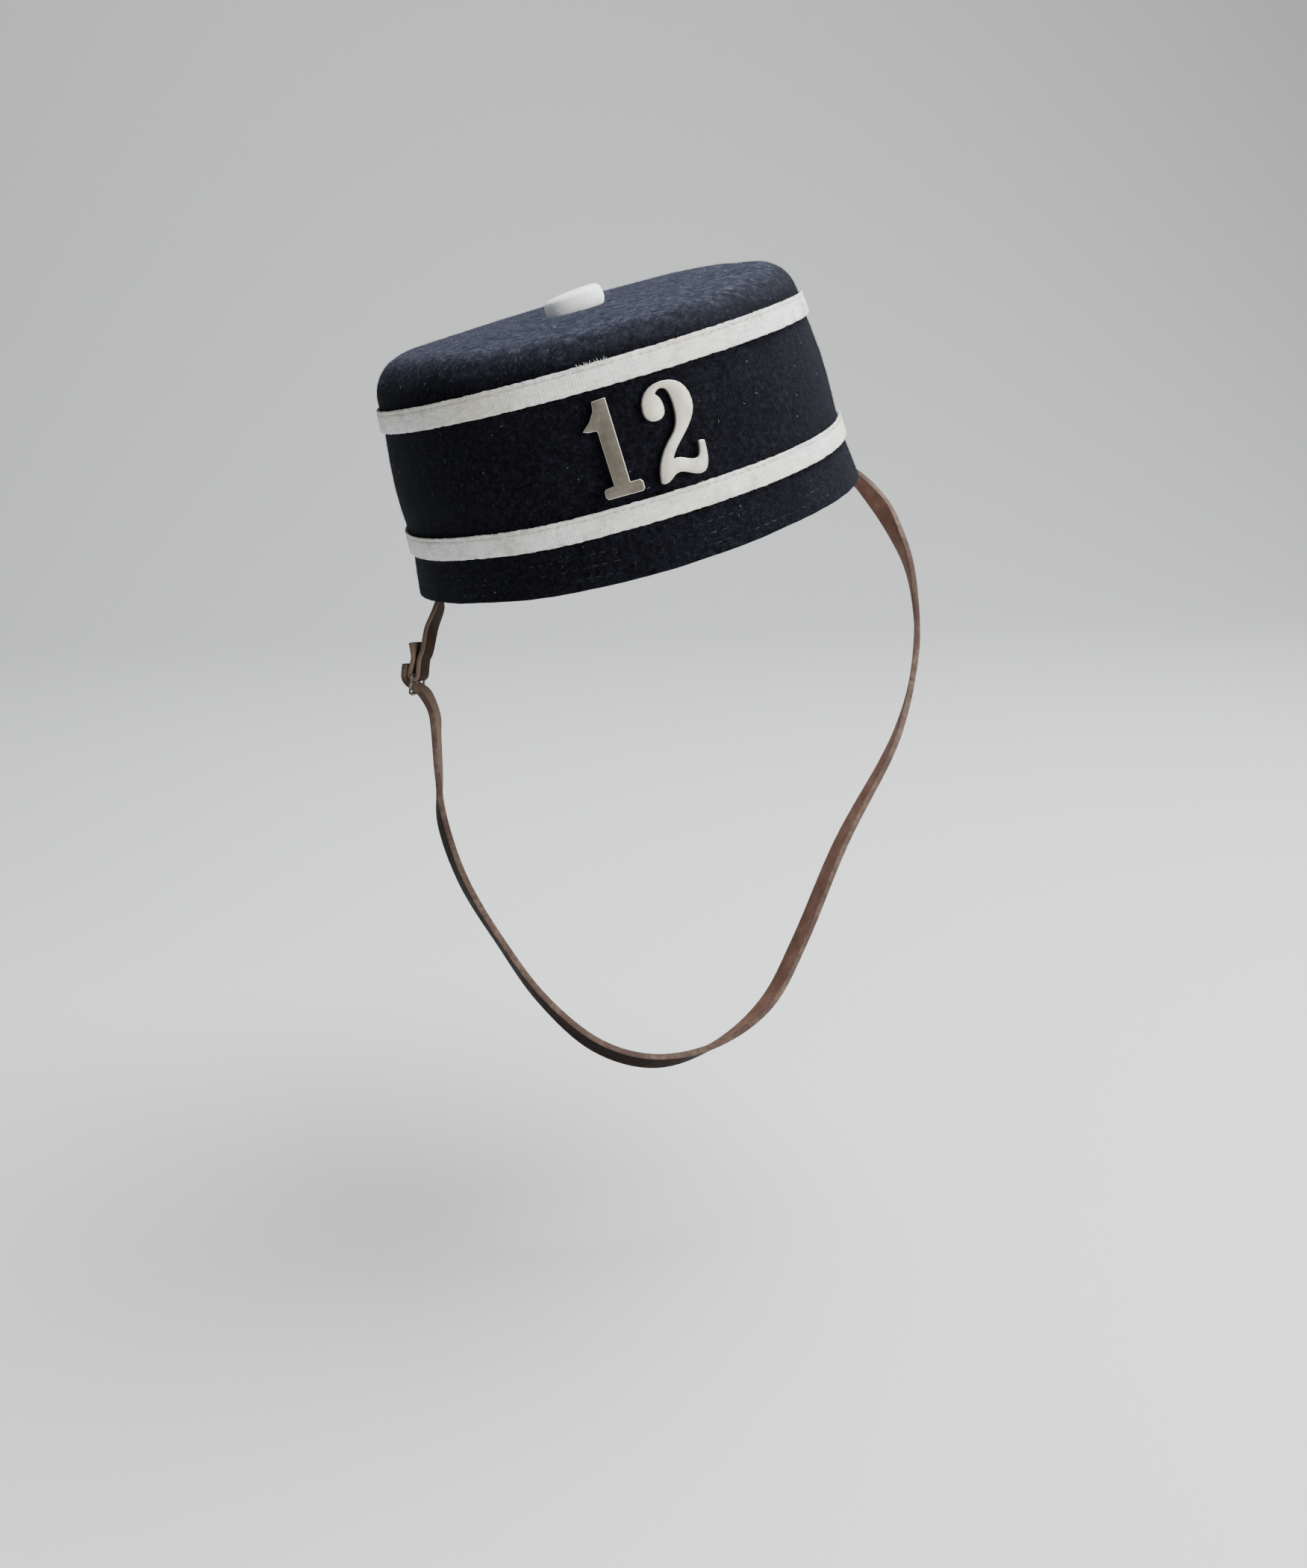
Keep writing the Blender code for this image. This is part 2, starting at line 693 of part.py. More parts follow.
def build_all():
    """Put the whole hat together."""
    clear_scene()
    tilt = bpy.data.objects.new("hat_lean", None)
    bpy.context.scene.collection.objects.link(tilt)
    tilt.rotation_euler = (0.0, -HAT_LEAN, 0.0)
    build_crown(tilt)
    build_tape("lower_tape", LOWER_TAPE_HEIGHT, TAPE_SWAY, tilt)
    build_tape("upper_tape", UPPER_TAPE_HEIGHT, 0.0, tilt)
    two = curve_points(TWO_START, TWO_OUTLINE)
    build_numeral("numeral_one", ONE_OUTLINE, ONE_WIDTH, ONE_SIDE, "dull_nickel", tilt)
    build_numeral("numeral_two", two, TWO_WIDTH, TWO_SIDE, "pale_nickel", tilt)
    build_button(tilt)
    buckle = Buckle()
    build_buckle_frame(buckle)
    build_pin("buckle_prong", buckle, PRONG_WIRE, 0.0)
    punch = build_pin("prong_punch", buckle, PRONG_WIRE + 2.0 * CLEARANCE, BUCKLE_WIRE)
    punch.hide_render = True
    punch.display_type = "WIRE"
    for leather in (build_tab(buckle), build_chin_strap(buckle)):
        cut_for_prong(leather, punch)


build_all()
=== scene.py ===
import math

import bmesh
import bpy
import numpy as np
from mathutils import Matrix, Vector, noise
from mathutils.bvhtree import BVHTree


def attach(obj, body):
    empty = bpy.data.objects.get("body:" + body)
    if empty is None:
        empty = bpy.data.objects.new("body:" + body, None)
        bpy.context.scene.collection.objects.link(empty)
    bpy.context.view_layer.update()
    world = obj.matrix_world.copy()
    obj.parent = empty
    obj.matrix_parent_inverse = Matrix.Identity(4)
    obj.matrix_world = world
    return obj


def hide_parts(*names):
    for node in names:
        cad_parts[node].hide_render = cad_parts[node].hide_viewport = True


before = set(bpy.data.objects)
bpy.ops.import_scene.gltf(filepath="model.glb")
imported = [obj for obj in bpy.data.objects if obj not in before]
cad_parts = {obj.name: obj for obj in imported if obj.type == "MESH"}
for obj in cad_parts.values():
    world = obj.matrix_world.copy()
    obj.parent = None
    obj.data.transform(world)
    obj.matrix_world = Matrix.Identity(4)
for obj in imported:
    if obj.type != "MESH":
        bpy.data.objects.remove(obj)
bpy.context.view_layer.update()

# Place from which the hat is seen: half a metre in front of the felt, level with its top, looking
# down by 15 degrees and a little toward the wearer's left.
eye = bpy.data.cameras.new("eye")
eye.lens = 41.143
eye.sensor_width = 36.0
viewpoint = bpy.data.objects.new("viewpoint", eye)
bpy.context.scene.collection.objects.link(viewpoint)
viewpoint.location = (-0.0717, -0.6149, 0.0774)
viewpoint.rotation_euler = (math.radians(74.823), 0.0, math.radians(-7.174))
bpy.context.scene.camera = viewpoint


# Felt crown: one piece of stiff navy wool felt, steamed over a block to an oval drum with a soft
# shoulder and a hardly domed top. Its cut rim is bare, its nap is short and picks up lint, and
# it is worn leaning, so the hat's own upright leans with it.
HAT_LEAN = math.radians(15.4)
WELD = 0.00002
RIM_ROUNDING = 0.0008
RIM_ZONE = 0.0022
RIM_EDGE = 0.0045
LOWER_TAPE = (0.0146, 0.0214)
UPPER_TAPE = (0.0560, 0.0628)
BESIDE_TAPE = 0.001
LOOSE_OFF_TAPE = 0.006
UNEVENNESS = 0.0009
WAVE_SIZE = 0.022
NAVY_WOOL = (
    (0.32, (0.0030, 0.0031, 0.0052)),
    (0.56, (0.0100, 0.0104, 0.0165)),
    (0.78, (0.038, 0.040, 0.058)),
)
# Paler felt colours for the upward-facing top: painted light and sheen, as the top catches it.
PAINTED_TOP_LIGHT_WOOL = (
    (0.38, (0.006, 0.007, 0.012)),
    (0.52, (0.029, 0.033, 0.050)),
    (0.67, (0.090, 0.097, 0.128)),
)
PALE_SPECK = (0.20, 0.21, 0.24)
SPECK_SCALE = 330.0

to_hat = Matrix.Rotation(HAT_LEAN, 4, "Y")
from_hat = to_hat.inverted()
hat_up = from_hat.to_3x3() @ Vector((0.0, 0.0, 1.0))


def pick_only(piece):
    """Leave nothing selected but one piece."""
    bpy.ops.object.select_all(action="DESELECT")
    piece.select_set(True)
    bpy.context.view_layer.objects.active = piece


def copy_of_solid(node, name):
    """Own mesh of a solid, with its loose triangles joined up again."""
    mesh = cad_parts[node].data.copy()
    mesh.materials.clear()
    piece = bpy.data.objects.new(name, mesh)
    bpy.context.scene.collection.objects.link(piece)
    pick_only(piece)
    if mesh.has_custom_normals:
        bpy.ops.mesh.customdata_custom_splitnormals_clear()
    bpy.ops.object.mode_set(mode="EDIT")
    bpy.ops.mesh.select_all(action="SELECT")
    bpy.ops.mesh.remove_doubles(threshold=WELD)
    bpy.ops.mesh.tris_convert_to_quads(
        face_threshold=math.radians(40), shape_threshold=math.radians(80),
    )
    bpy.ops.object.mode_set(mode="OBJECT")
    return piece


def pick_edges(piece, wanted):
    """Select the edges that a test on their two ends accepts."""
    mesh = piece.data
    for part in (mesh.polygons, mesh.edges, mesh.vertices):
        part.foreach_set("select", [False] * len(part))
    for edge in mesh.edges:
        edge.select = wanted(*(mesh.vertices[end].co for end in edge.vertices))


def finish_with(piece, kind, **settings):
    """Add a modifier, set it and apply it."""
    pick_only(piece)
    modifier = piece.modifiers.new(kind.lower(), kind)
    for key, value in settings.items():
        setattr(modifier, key, value)
    bpy.ops.object.modifier_apply(modifier=modifier.name)


def start_material(name):
    """New material with its node tree and its shader."""
    material = bpy.data.materials.new(name)
    material.use_nodes = True
    tree = material.node_tree
    return material, tree, tree.nodes["Principled BSDF"]


def set_values(node, values):
    """Set sockets of a node, or of the shader, to what is the same all over."""
    for socket, value in values.items():
        node.inputs[socket].default_value = value


def feed(tree, socket, source):
    """Give a socket another node's output, a number or a colour."""
    if isinstance(source, bpy.types.NodeSocket):
        tree.links.new(source, socket)
    else:
        socket.default_value = (*source, 1.0) if isinstance(source, tuple) else source


def put(tree, kind, values=None, where=None, **settings):
    """Add a node, set it and its sockets, and link the place that it is read at."""
    node = tree.nodes.new(kind)
    for key, value in settings.items():
        setattr(node, key, value)
    set_values(node, values or {})
    if where is not None:
        tree.links.new(where, node.inputs["Vector"])
    return node


def grain(tree, where, scale, detail=2.0, roughness=0.5, distortion=0.0):
    """Noise at a scale in repeats a metre."""
    values = {"Scale": scale, "Detail": detail, "Roughness": roughness, "Distortion": distortion}
    return put(tree, "ShaderNodeTexNoise", values, where).outputs["Fac"]


def ramp(tree, source, *stops):
    """Colours or greys along a value."""
    node = put(tree, "ShaderNodeValToRGB")
    band = node.color_ramp
    while len(band.elements) < len(stops):
        band.elements.new(0.5)
    for element, (place, colour) in zip(band.elements, stops):
        element.position = place
        element.color = (*(colour if isinstance(colour, tuple) else (colour,) * 3), 1.0)
    tree.links.new(source, node.inputs["Fac"])
    return node.outputs["Color"]


def mix(tree, share, first, second, blend="MIX"):
    """Mix two colours by a share; each may be a link or a fixed value."""
    node = put(tree, "ShaderNodeMix", data_type="RGBA", blend_type=blend)
    for socket, source in ((0, share), (6, first), (7, second)):
        feed(tree, node.inputs[socket], source)
    return node.outputs[2]


def sum_up(tree, operation, first, second):
    """One step of arithmetic on two values or links."""
    node = put(tree, "ShaderNodeMath", operation=operation)
    feed(tree, node.inputs[0], first)
    feed(tree, node.inputs[1], second)
    return node.outputs[0]


def facing(tree, places, way):
    """How squarely the surface faces a way: 1 for straight at it, 0 for across it."""
    node = put(tree, "ShaderNodeVectorMath", operation="DOT_PRODUCT")
    tree.links.new(places.outputs["Normal"], node.inputs[0])
    node.inputs[1].default_value = way
    return node.outputs["Value"]


def relief(tree, height, depth, strength=1.0, below=None):
    """Bump of a depth in metres, over another one if given."""
    node = put(tree, "ShaderNodeBump", {"Distance": depth, "Strength": strength})
    tree.links.new(height, node.inputs["Height"])
    if below is not None:
        tree.links.new(below, node.inputs["Normal"])
    return node.outputs["Normal"]


def felt_material():
    """Short-napped navy felt: dark wool, paler fibre ends; painted shade in the hollows of the nap
    and painted light on the upward-facing top.
    """
    material, tree, shader = start_material("navy_felt")
    places = put(tree, "ShaderNodeTexCoord")
    where = places.outputs["Object"]
    fibres = grain(tree, where, 2100, 4.0, 0.7, 0.8)
    tufts = grain(tree, where, 620, 4.0, 0.7, 0.6)
    patches = grain(tree, where, 45, 5.0, 0.65)
    colour = ramp(tree, fibres, *NAVY_WOOL)
    # Painted shade: the felt is darkened where the nap's bump is low, as shade in its hollows.
    nap_hollow_shade = ramp(tree, tufts, (0.36, 0.12), (0.50, 0.45), (0.66, 1.0))
    colour = mix(tree, 1.0, colour, nap_hollow_shade, "MULTIPLY")
    colour = mix(tree, 0.6, colour, ramp(tree, patches, (0.34, 0.5), (0.66, 1.0)), "MULTIPLY")
    # Painted light: upward-facing felt is mixed toward paler wool, for the light and sheen on the
    # top.
    painted_top_light_share = ramp(tree, facing(tree, places, hat_up), (0.30, 0.0), (0.80, 0.45), (0.97, 1.0))
    painted_top_light = ramp(tree, grain(tree, where, 390, 6.0, 0.78, 0.5), *PAINTED_TOP_LIGHT_WOOL)
    colour = mix(tree, sum_up(tree, "MULTIPLY", painted_top_light_share, 0.75), colour, painted_top_light)
    dust = put(tree, "ShaderNodeTexVoronoi", {"Scale": SPECK_SCALE}, where)
    red = put(tree, "ShaderNodeSeparateColor")
    tree.links.new(dust.outputs["Color"], red.inputs["Color"])
    rare = sum_up(tree, "GREATER_THAN", red.outputs["Red"], 0.90)
    small = ramp(tree, dust.outputs["Distance"], (0.03, 1.0), (0.11, 0.0))
    speck = sum_up(tree, "MULTIPLY", sum_up(tree, "MULTIPLY", rare, small), 0.45)
    tree.links.new(mix(tree, speck, colour, PALE_SPECK), shader.inputs["Base Color"])
    rough = relief(tree, tufts, 0.0002, 0.5)
    tree.links.new(relief(tree, fibres, 0.0003, 0.7, rough), shader.inputs["Normal"])
    set_values(shader, {"Roughness": 0.95, "Specular IOR Level": 0.08, "Sheen Weight": 0.02,
                        "Sheen Roughness": 0.40, "Sheen Tint": (0.52, 0.60, 1.0, 1.0)})
    return material


def off_tapes(height):
    """How far above or below the nearer tape a height of the hat lies."""
    return min(max(low - height, height - high) for low, high in (LOWER_TAPE, UPPER_TAPE))


def is_rim(one, other):
    """Edge that runs round the rim."""
    low = max((to_hat @ one).z, (to_hat @ other).z) < RIM_ZONE
    return low and (one - other).length > RIM_EDGE


felt = copy_of_solid("felt_crown", "crown_felt")
pick_edges(felt, is_rim)
bpy.ops.object.mode_set(mode="EDIT")
bpy.ops.mesh.select_mode(type="EDGE")
bpy.ops.mesh.bevel(offset=RIM_ROUNDING, segments=2, affect="EDGES")
bpy.ops.object.mode_set(mode="OBJECT")
finish_with(felt, "SUBSURF", levels=2, render_levels=2)
loose = felt.vertex_groups.new(name="loose_felt")
for vertex in felt.data.vertices:
    clear = off_tapes((to_hat @ vertex.co).z) - BESIDE_TAPE
    loose.add([vertex.index], min(max(clear / LOOSE_OFF_TAPE, 0.0), 1.0), "REPLACE")
waves = bpy.data.textures.new("felt_waves", "CLOUDS")
waves.noise_scale = WAVE_SIZE
waves.noise_depth = 2
finish_with(felt, "DISPLACE", texture=waves, texture_coords="LOCAL", strength=UNEVENNESS,
            mid_level=0.5, vertex_group="loose_felt")
felt.vertex_groups.clear()
felt.data.materials.append(felt_material())
felt.data.shade_smooth()
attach(felt, "root")
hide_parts("felt_crown")


# Two white tapes: woven cotton, 6.8 mm wide, laid round the crown by hand and sewn down along
# their upper edge with a thread that has gone brown. The sewing draws a puckered groove there,
# and the edges are a little ragged.
TAPE_THICKNESS = 0.0010
TAPE_GAP = 0.0003
TAPE_PITCH = 0.0029
TAPE_COLUMNS = 64
TAPE_LENGTHS = 720
TAPE_WELD = 0.00001
TAPE_BEVEL = 0.00022
TAPE_SECTION = (
    # share of the width, lift off the wall
    (0.00, -0.00016), (0.04, -0.00002), (0.13, 0.00006), (0.30, 0.00010),
    (0.50, 0.00010), (0.68, 0.00006), (0.78, -0.00004), (0.85, -0.00026),
    (0.92, -0.00006), (0.97, -0.00004), (1.00, -0.00016),
)
TAPE_GROOVE = 0.85
TAPE_PUCKER = 0.00007
TAPE_PUCKER_FADE = 4.0
TAPE_RAGS = (
    # depth, noise in repeats round the hat
    (0.00022, 42.0), (0.00014, 110.0),
)
TAPE_RUMPLES = (
    # height, noise in repeats round the hat, and across the tape
    (0.00010, 24.0, 1.5), (0.00012, 75.0, 4.0),
)
LOWEST_LIFT = -0.00025
OUT_OF_HAT = 0.2
COTTON = ((0.30, (0.46, 0.455, 0.43)), (0.46, (0.74, 0.74, 0.71)), (0.66, (0.90, 0.90, 0.88)))
YELLOWED = (0.66, 0.63, 0.48)
TAPE_DIRT = (0.34, 0.29, 0.23)


def surface_of(piece):
    """Surface of a piece, for laying things on it."""
    corners = [vertex.co for vertex in piece.data.vertices]
    return BVHTree.FromPolygons(corners, [face.vertices for face in piece.data.polygons])


def wall_spot(surface, azimuth, height, outward):
    """Point off the wall at an azimuth and a height of the hat, and the way out of the wall."""
    away = Vector((math.cos(azimuth), math.sin(azimuth), 0.0))
    start = from_hat @ (away * OUT_OF_HAT + Vector((0.0, 0.0, height)))
    spot, normal, _, _ = surface.ray_cast(start, from_hat @ -away)
    return spot + normal * outward, normal


def tape_course(node):
    """Azimuths of a tape's solid, and the heights of its lower and upper edge there."""
    step = 360.0 / TAPE_COLUMNS
    columns = {}
    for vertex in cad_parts[node].data.vertices:
        spot = to_hat @ vertex.co
        side = round(math.degrees(math.atan2(spot.y, spot.x)) % 360.0 / step) % TAPE_COLUMNS
        columns.setdefault(side, []).append(spot.z)
    rows = [
        (math.radians(side * step), min(heights), max(heights))
        for side, heights in sorted(columns.items())
    ]
    rows.append((rows[0][0] + 2.0 * math.pi, rows[0][1], rows[0][2]))
    return [np.array(column) for column in zip(*rows)]


def run_lengths(points):
    """How far along a row of points each of them lies."""
    lengths = [0.0]
    for before, after in zip(points, points[1:]):
        lengths.append(lengths[-1] + (after - before).length)
    return lengths


def lay_strip(name, centres, across, place, lengths):
    """Grid with one row of corners for each place along it, and its own map in metres."""
    bpy.ops.object.select_all(action="DESELECT")
    count = len(centres)
    bpy.ops.mesh.primitive_grid_add(
        x_subdivisions=count - 1, y_subdivisions=len(across) - 1, size=1.0,
    )
    strip = bpy.context.object
    strip.name = name
    mesh = strip.data
    for vertex in mesh.vertices:
        vertex.co = place(vertex.index % count, vertex.index // count)
    chart = mesh.uv_layers.active.data
    for loop in mesh.loops:
        along, over = loop.vertex_index % count, loop.vertex_index // count
        chart[loop.index].uv = (lengths[along], across[over])
    return strip


def tape_material():
    """White cotton tape: fine ribs across it, grey and yellow soiling, a dirtier upper edge."""
    material, tree, shader = start_material("white_cotton")
    chart = put(tree, "ShaderNodeTexCoord").outputs["UV"]
    where = put(tree, "ShaderNodeTexCoord").outputs["Object"]
    waves = {"Scale": 340.0, "Distortion": 1.2, "Detail": 1.0, "Detail Scale": 2.0}
    ribs = put(tree, "ShaderNodeTexWave", waves, chart, bands_direction="X")
    waves = {"Scale": 420.0, "Distortion": 0.8, "Detail": 1.0}
    yarns = put(tree, "ShaderNodeTexWave", waves, chart, bands_direction="Y")
    weave = mix(tree, 0.5, ribs.outputs["Color"], yarns.outputs["Color"])
    stain = ramp(tree, grain(tree, where, 26, 3.0, 0.5), (0.52, 0.0), (0.68, 0.6))
    colour = ramp(tree, grain(tree, where, 130, 6.0, 0.7), *COTTON)
    colour = mix(tree, stain, colour, YELLOWED)
    colour = mix(tree, 0.16, colour, weave, "MULTIPLY")
    drawn = put(tree, "ShaderNodeMapping", {"Scale": (0.14, 1.0, 1.0)}, chart)
    streaks = grain(tree, drawn.outputs["Vector"], 1300, 5.0, 0.7)
    shade = ramp(tree, streaks, (0.34, 0.62), (0.50, 0.92), (0.62, 1.0))
    colour = mix(tree, 0.75, colour, shade, "MULTIPLY")
    centimetres = put(tree, "ShaderNodeVectorMath", {"Scale": 100.0}, chart, operation="SCALE")
    split = put(tree, "ShaderNodeSeparateXYZ", where=centimetres.outputs[0])
    edge = ramp(tree, split.outputs["Y"],
                (0.0, 0.35), (0.07, 0.0), (0.50, 0.0), (0.57, 0.75), (0.62, 0.3), (0.68, 0.5))
    dirt = grain(tree, where, 380, 4.0, 0.65)
    worn = sum_up(tree, "MULTIPLY", edge, ramp(tree, dirt, (0.40, 0.0), (0.60, 1.0)))
    tree.links.new(mix(tree, worn, colour, TAPE_DIRT), shader.inputs["Base Color"])
    nap = grain(tree, where, 1500, 3.0, 0.6)
    rumples = grain(tree, where, 620, 4.0, 0.65, 0.5)
    rough = relief(tree, rumples, 0.0005, 0.6, relief(tree, weave, 0.00012, 0.7))
    rough = relief(tree, streaks, 0.0003, 0.6, rough)
    tree.links.new(relief(tree, nap, 0.0003, 0.5, rough), shader.inputs["Normal"])
    set_values(shader, {"Roughness": 0.88, "Specular IOR Level": 0.2, "Sheen Weight": 0.10})
    return material


felt_surface = surface_of(felt)
white_cotton = tape_material()
tapes = {}
for node, name in (("lower_tape", "cotton_tape_lower"), ("upper_tape", "cotton_tape_upper")):
    sides, feet, tops = tape_course(node)
    azimuths = [2.0 * math.pi * step / TAPE_LENGTHS for step in range(TAPE_LENGTHS + 1)]
    middle = 0.5 * (feet[0] + tops[0])
    lengths = run_lengths([wall_spot(felt_surface, turn, middle, 0.0)[0] for turn in azimuths])

    def tape_place(along, over):
        """Point of the tape: ragged at its edges, puckered by its thread and not quite flat."""
        turn = azimuths[along]
        share, lift = TAPE_SECTION[over]
        round_hat = Vector((math.cos(turn), math.sin(turn), 0.0))
        foot, top = np.interp(turn, sides, feet), np.interp(turn, sides, tops)
        edge = Vector((0.0, 0.0, 3.0 * round(share)))
        rag = sum(depth * noise.noise(round_hat * repeats + edge) for depth, repeats in TAPE_RAGS)
        pull = max(1.0 - abs(share - TAPE_GROOVE) * TAPE_PUCKER_FADE, 0.0)
        lift += TAPE_PUCKER * math.cos(2.0 * math.pi * lengths[along] / TAPE_PITCH) * pull
        for rise, repeats, drift in TAPE_RUMPLES:
            lift += rise * noise.noise(round_hat * repeats + Vector((0.0, 0.0, share * drift)))
        height = foot + (top - foot) * share + rag * (2.0 * share - 1.0)
        outward = TAPE_GAP + TAPE_THICKNESS / 2.0 + max(lift, LOWEST_LIFT)
        return wall_spot(felt_surface, turn, height, outward)[0]

    across = [share * (tops[0] - feet[0]) for share, _ in TAPE_SECTION]
    tape = lay_strip(name, azimuths, across, tape_place, lengths)
    bpy.ops.object.mode_set(mode="EDIT")
    bpy.ops.mesh.select_all(action="SELECT")
    bpy.ops.mesh.remove_doubles(threshold=TAPE_WELD)
    bpy.ops.object.mode_set(mode="OBJECT")
    finish_with(tape, "SOLIDIFY", thickness=TAPE_THICKNESS, offset=0.0)
    finish_with(tape, "BEVEL", width=TAPE_BEVEL, segments=2, angle_limit=math.radians(50))
    tape.data.materials.append(white_cotton)
    tape.data.shade_smooth()
    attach(tape, "root")
    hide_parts(node)
    tapes[name] = (sides, feet, tops)


# Sewing: short slanting stitches of brown thread hold the upper edge of each tape, and three
# faint rows of navy machine stitching run round the band between the rim and the lower tape.
THREAD = 0.00030
STITCH_BEND = 0.3
STITCH_DIVE = 0.8
STITCH_PINCH = 0.7
TAPE_STITCH = 0.0015
TAPE_STITCH_BELOW_EDGE = 0.0010
TAPE_STITCH_SUNK = 0.00018
TAPE_STITCH_SLANT = 0.12
TAPE_SEED = 5
BAND_STITCH = 0.0024
BAND_STITCH_SUNK = 0.1
BAND_PITCH = 0.0034
BAND_ROWS = (0.0034, 0.0066, 0.0100)
BAND_PATCHES = 55.0
BAND_SEED = 11
UNEVEN_ROW = 0.00006
UNEVEN_SEWING = 0.06
BROWN_THREAD = ((0.50, 0.46, 0.39), (0.22, 0.16, 0.11))
NAVY_THREAD = ((0.004, 0.0045, 0.008), (0.040, 0.043, 0.052))


def thread_material(name, low, high):
    """Twisted sewing thread, paler where it has rubbed."""
    material, tree, shader = start_material(name)
    where = put(tree, "ShaderNodeTexCoord").outputs["Object"]
    ply = grain(tree, where, 2600, 2.0, 0.6)
    rub = grain(tree, where, 60, 3.0, 0.6)
    colour = mix(tree, ramp(tree, rub, (0.46, 0.0), (0.64, 1.0)), low, high)
    colour = mix(tree, 0.5, colour, ramp(tree, ply, (0.3, 0.5), (0.6, 1.0)), "MULTIPLY")
    tree.links.new(colour, shader.inputs["Base Color"])
    tree.links.new(relief(tree, ply, 0.0001, 0.6), shader.inputs["Normal"])
    set_values(shader, {"Roughness": 0.8, "Specular IOR Level": 0.1})
    return material


def model_thread(sides, thickness, length, ends, cuts):
    """Straight thread along X, cut across at shares of its length from its middle."""
    bpy.ops.object.select_all(action="DESELECT")
    bpy.ops.mesh.primitive_cylinder_add(vertices=sides, radius=thickness / 2.0, depth=length,
                                        rotation=(0.0, math.pi / 2.0, 0.0), end_fill_type=ends)
    thread = bpy.context.object
    bpy.ops.object.transform_apply(location=False, rotation=True, scale=False)
    bpy.ops.object.mode_set(mode="EDIT")
    bpy.ops.mesh.select_mode(type="FACE")
    for share in cuts:
        bpy.ops.mesh.select_all(action="SELECT")
        bpy.ops.mesh.bisect(plane_co=(share * length, 0.0, 0.0), plane_no=(1.0, 0.0, 0.0))
    bpy.ops.object.mode_set(mode="OBJECT")
    return thread


def model_stitch(length, thickness):
    """One stitch: a short thread along X whose ends dive into the cloth."""
    stitch = model_thread(6, thickness, length, "NOTHING", (STITCH_BEND, -STITCH_BEND))
    for vertex in stitch.data.vertices:
        if abs(vertex.co.x) > length * (STITCH_BEND + 0.5) / 2.0:
            vertex.co.z -= thickness * STITCH_DIVE
            vertex.co.y *= STITCH_PINCH
    return stitch


def lay_copies(name, model, places, material):
    """One piece of many copies of a small model, each in its own place."""
    corners = np.array([(*vertex.co, 1.0) for vertex in model.data.vertices])
    faces = [tuple(face.vertices) for face in model.data.polygons]
    points, sides = [], []
    for number, place in enumerate(places):
        points.append((corners @ np.array(place).T)[:, :3])
        sides += [tuple(number * len(corners) + corner for corner in face) for face in faces]
    mesh = bpy.data.meshes.new(name)
    mesh.from_pydata(np.concatenate(points).tolist(), [], sides)
    bpy.data.objects.remove(model)
    mesh.materials.append(material)
    mesh.shade_smooth()
    piece = bpy.data.objects.new(name, mesh)
    bpy.context.scene.collection.objects.link(piece)
    return piece


def stitch_places(surface, pitch, height_at, outward, slant, seed):
    """Places of a row of stitches round the wall, the spacing a little uneven."""
    places = []
    turn = 0.0
    chance = np.random.default_rng(seed)
    while turn < 2.0 * math.pi:
        height = height_at(turn) + chance.normal(0.0, UNEVEN_ROW)
        spot, normal = wall_spot(surface, turn, height, outward)
        up = (hat_up - normal * hat_up.dot(normal)).normalized()
        along = up.cross(normal)
        lean = slant + chance.normal(0.0, UNEVEN_SEWING)
        run = along * math.cos(lean) + up * math.sin(lean)
        axes = Matrix((run, normal.cross(run), normal)).transposed().to_4x4()
        places.append(Matrix.Translation(spot) @ axes)
        reach = (to_hat @ spot).to_2d().length
        turn += pitch * (1.0 + chance.normal(0.0, UNEVEN_SEWING)) / reach
    return places


brown_thread = thread_material("brown_thread", *BROWN_THREAD)
for name, (sides, _, tops) in tapes.items():
    places = stitch_places(
        felt_surface, TAPE_PITCH,
        lambda turn: np.interp(turn, sides, tops) - TAPE_STITCH_BELOW_EDGE,
        TAPE_GAP + TAPE_THICKNESS - TAPE_STITCH_SUNK, TAPE_STITCH_SLANT, TAPE_SEED,
    )
    sewing = lay_copies(name + "_stitches", model_stitch(TAPE_STITCH, THREAD), places, brown_thread)
    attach(sewing, "root")

navy_thread = thread_material("navy_thread", *NAVY_THREAD)
places = []
for number, row in enumerate(BAND_ROWS):
    course = stitch_places(
        felt_surface, BAND_PITCH, lambda turn: row, -THREAD * BAND_STITCH_SUNK, 0.0,
        BAND_SEED + number,
    )
    places += [place for place in course if noise.noise(place.translation * BAND_PATCHES) > 0.0]
sewing = lay_copies("band_stitches", model_stitch(BAND_STITCH, THREAD), places, navy_thread)
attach(sewing, "root")


# Loose fibre on the hat: the felt's own short nap, combed down and a little lifted, and the
# frayed yarn ends along both edges of the tapes, thickest where the upper one has come ragged.
FIBRE_LENGTH = 0.001
FIBRE_TAPER = 0.6
FIBRE_BEND = 0.2
FIBRE_RISE = 0.1
FIBRE_CURL = 3.0
NAP_SEED = 33
NAP_COUNT = 13000
NAP_THICKNESS = 0.00008
NAP_ON_TOP = 0.5
NAP_UPWARD = 0.35
NAP_FLARE = 0.4
NAP_TANGLE = 0.7
NAP_LIFT = (0.1, 0.7)
NAP_SIZE = (0.4, 1.2)
FRAY_COUNT = 900
FRAY_THICKNESS = 0.00009
FRAY_INSET = 0.0003
FRAY_DEPTH = (0.3, 0.95)
FRAY_TANGLE = 0.8
FRAY_LIFT = 0.25
FRAY_SIZE = (0.35, 0.95)
RAGGED_COUNT = 46
RAGGED_SIZE = (0.8, 1.7)
RAGGED_RUN = (math.radians(262.0), math.radians(268.5))
TOP_REACH = (0.078, 0.091)
OVER_TOP = 0.12
WALL_HEIGHTS = (0.001, 0.078)


def fibre_material(name, low, high):
    """Loose fibre, from one colour to another over the hat."""
    material, tree, shader = start_material(name)
    where = put(tree, "ShaderNodeTexCoord").outputs["Object"]
    kind = grain(tree, where, 420, 2.0)
    tree.links.new(ramp(tree, kind, (0.38, low), (0.64, high)), shader.inputs["Base Color"])
    set_values(shader, {"Roughness": 0.9})
    return material


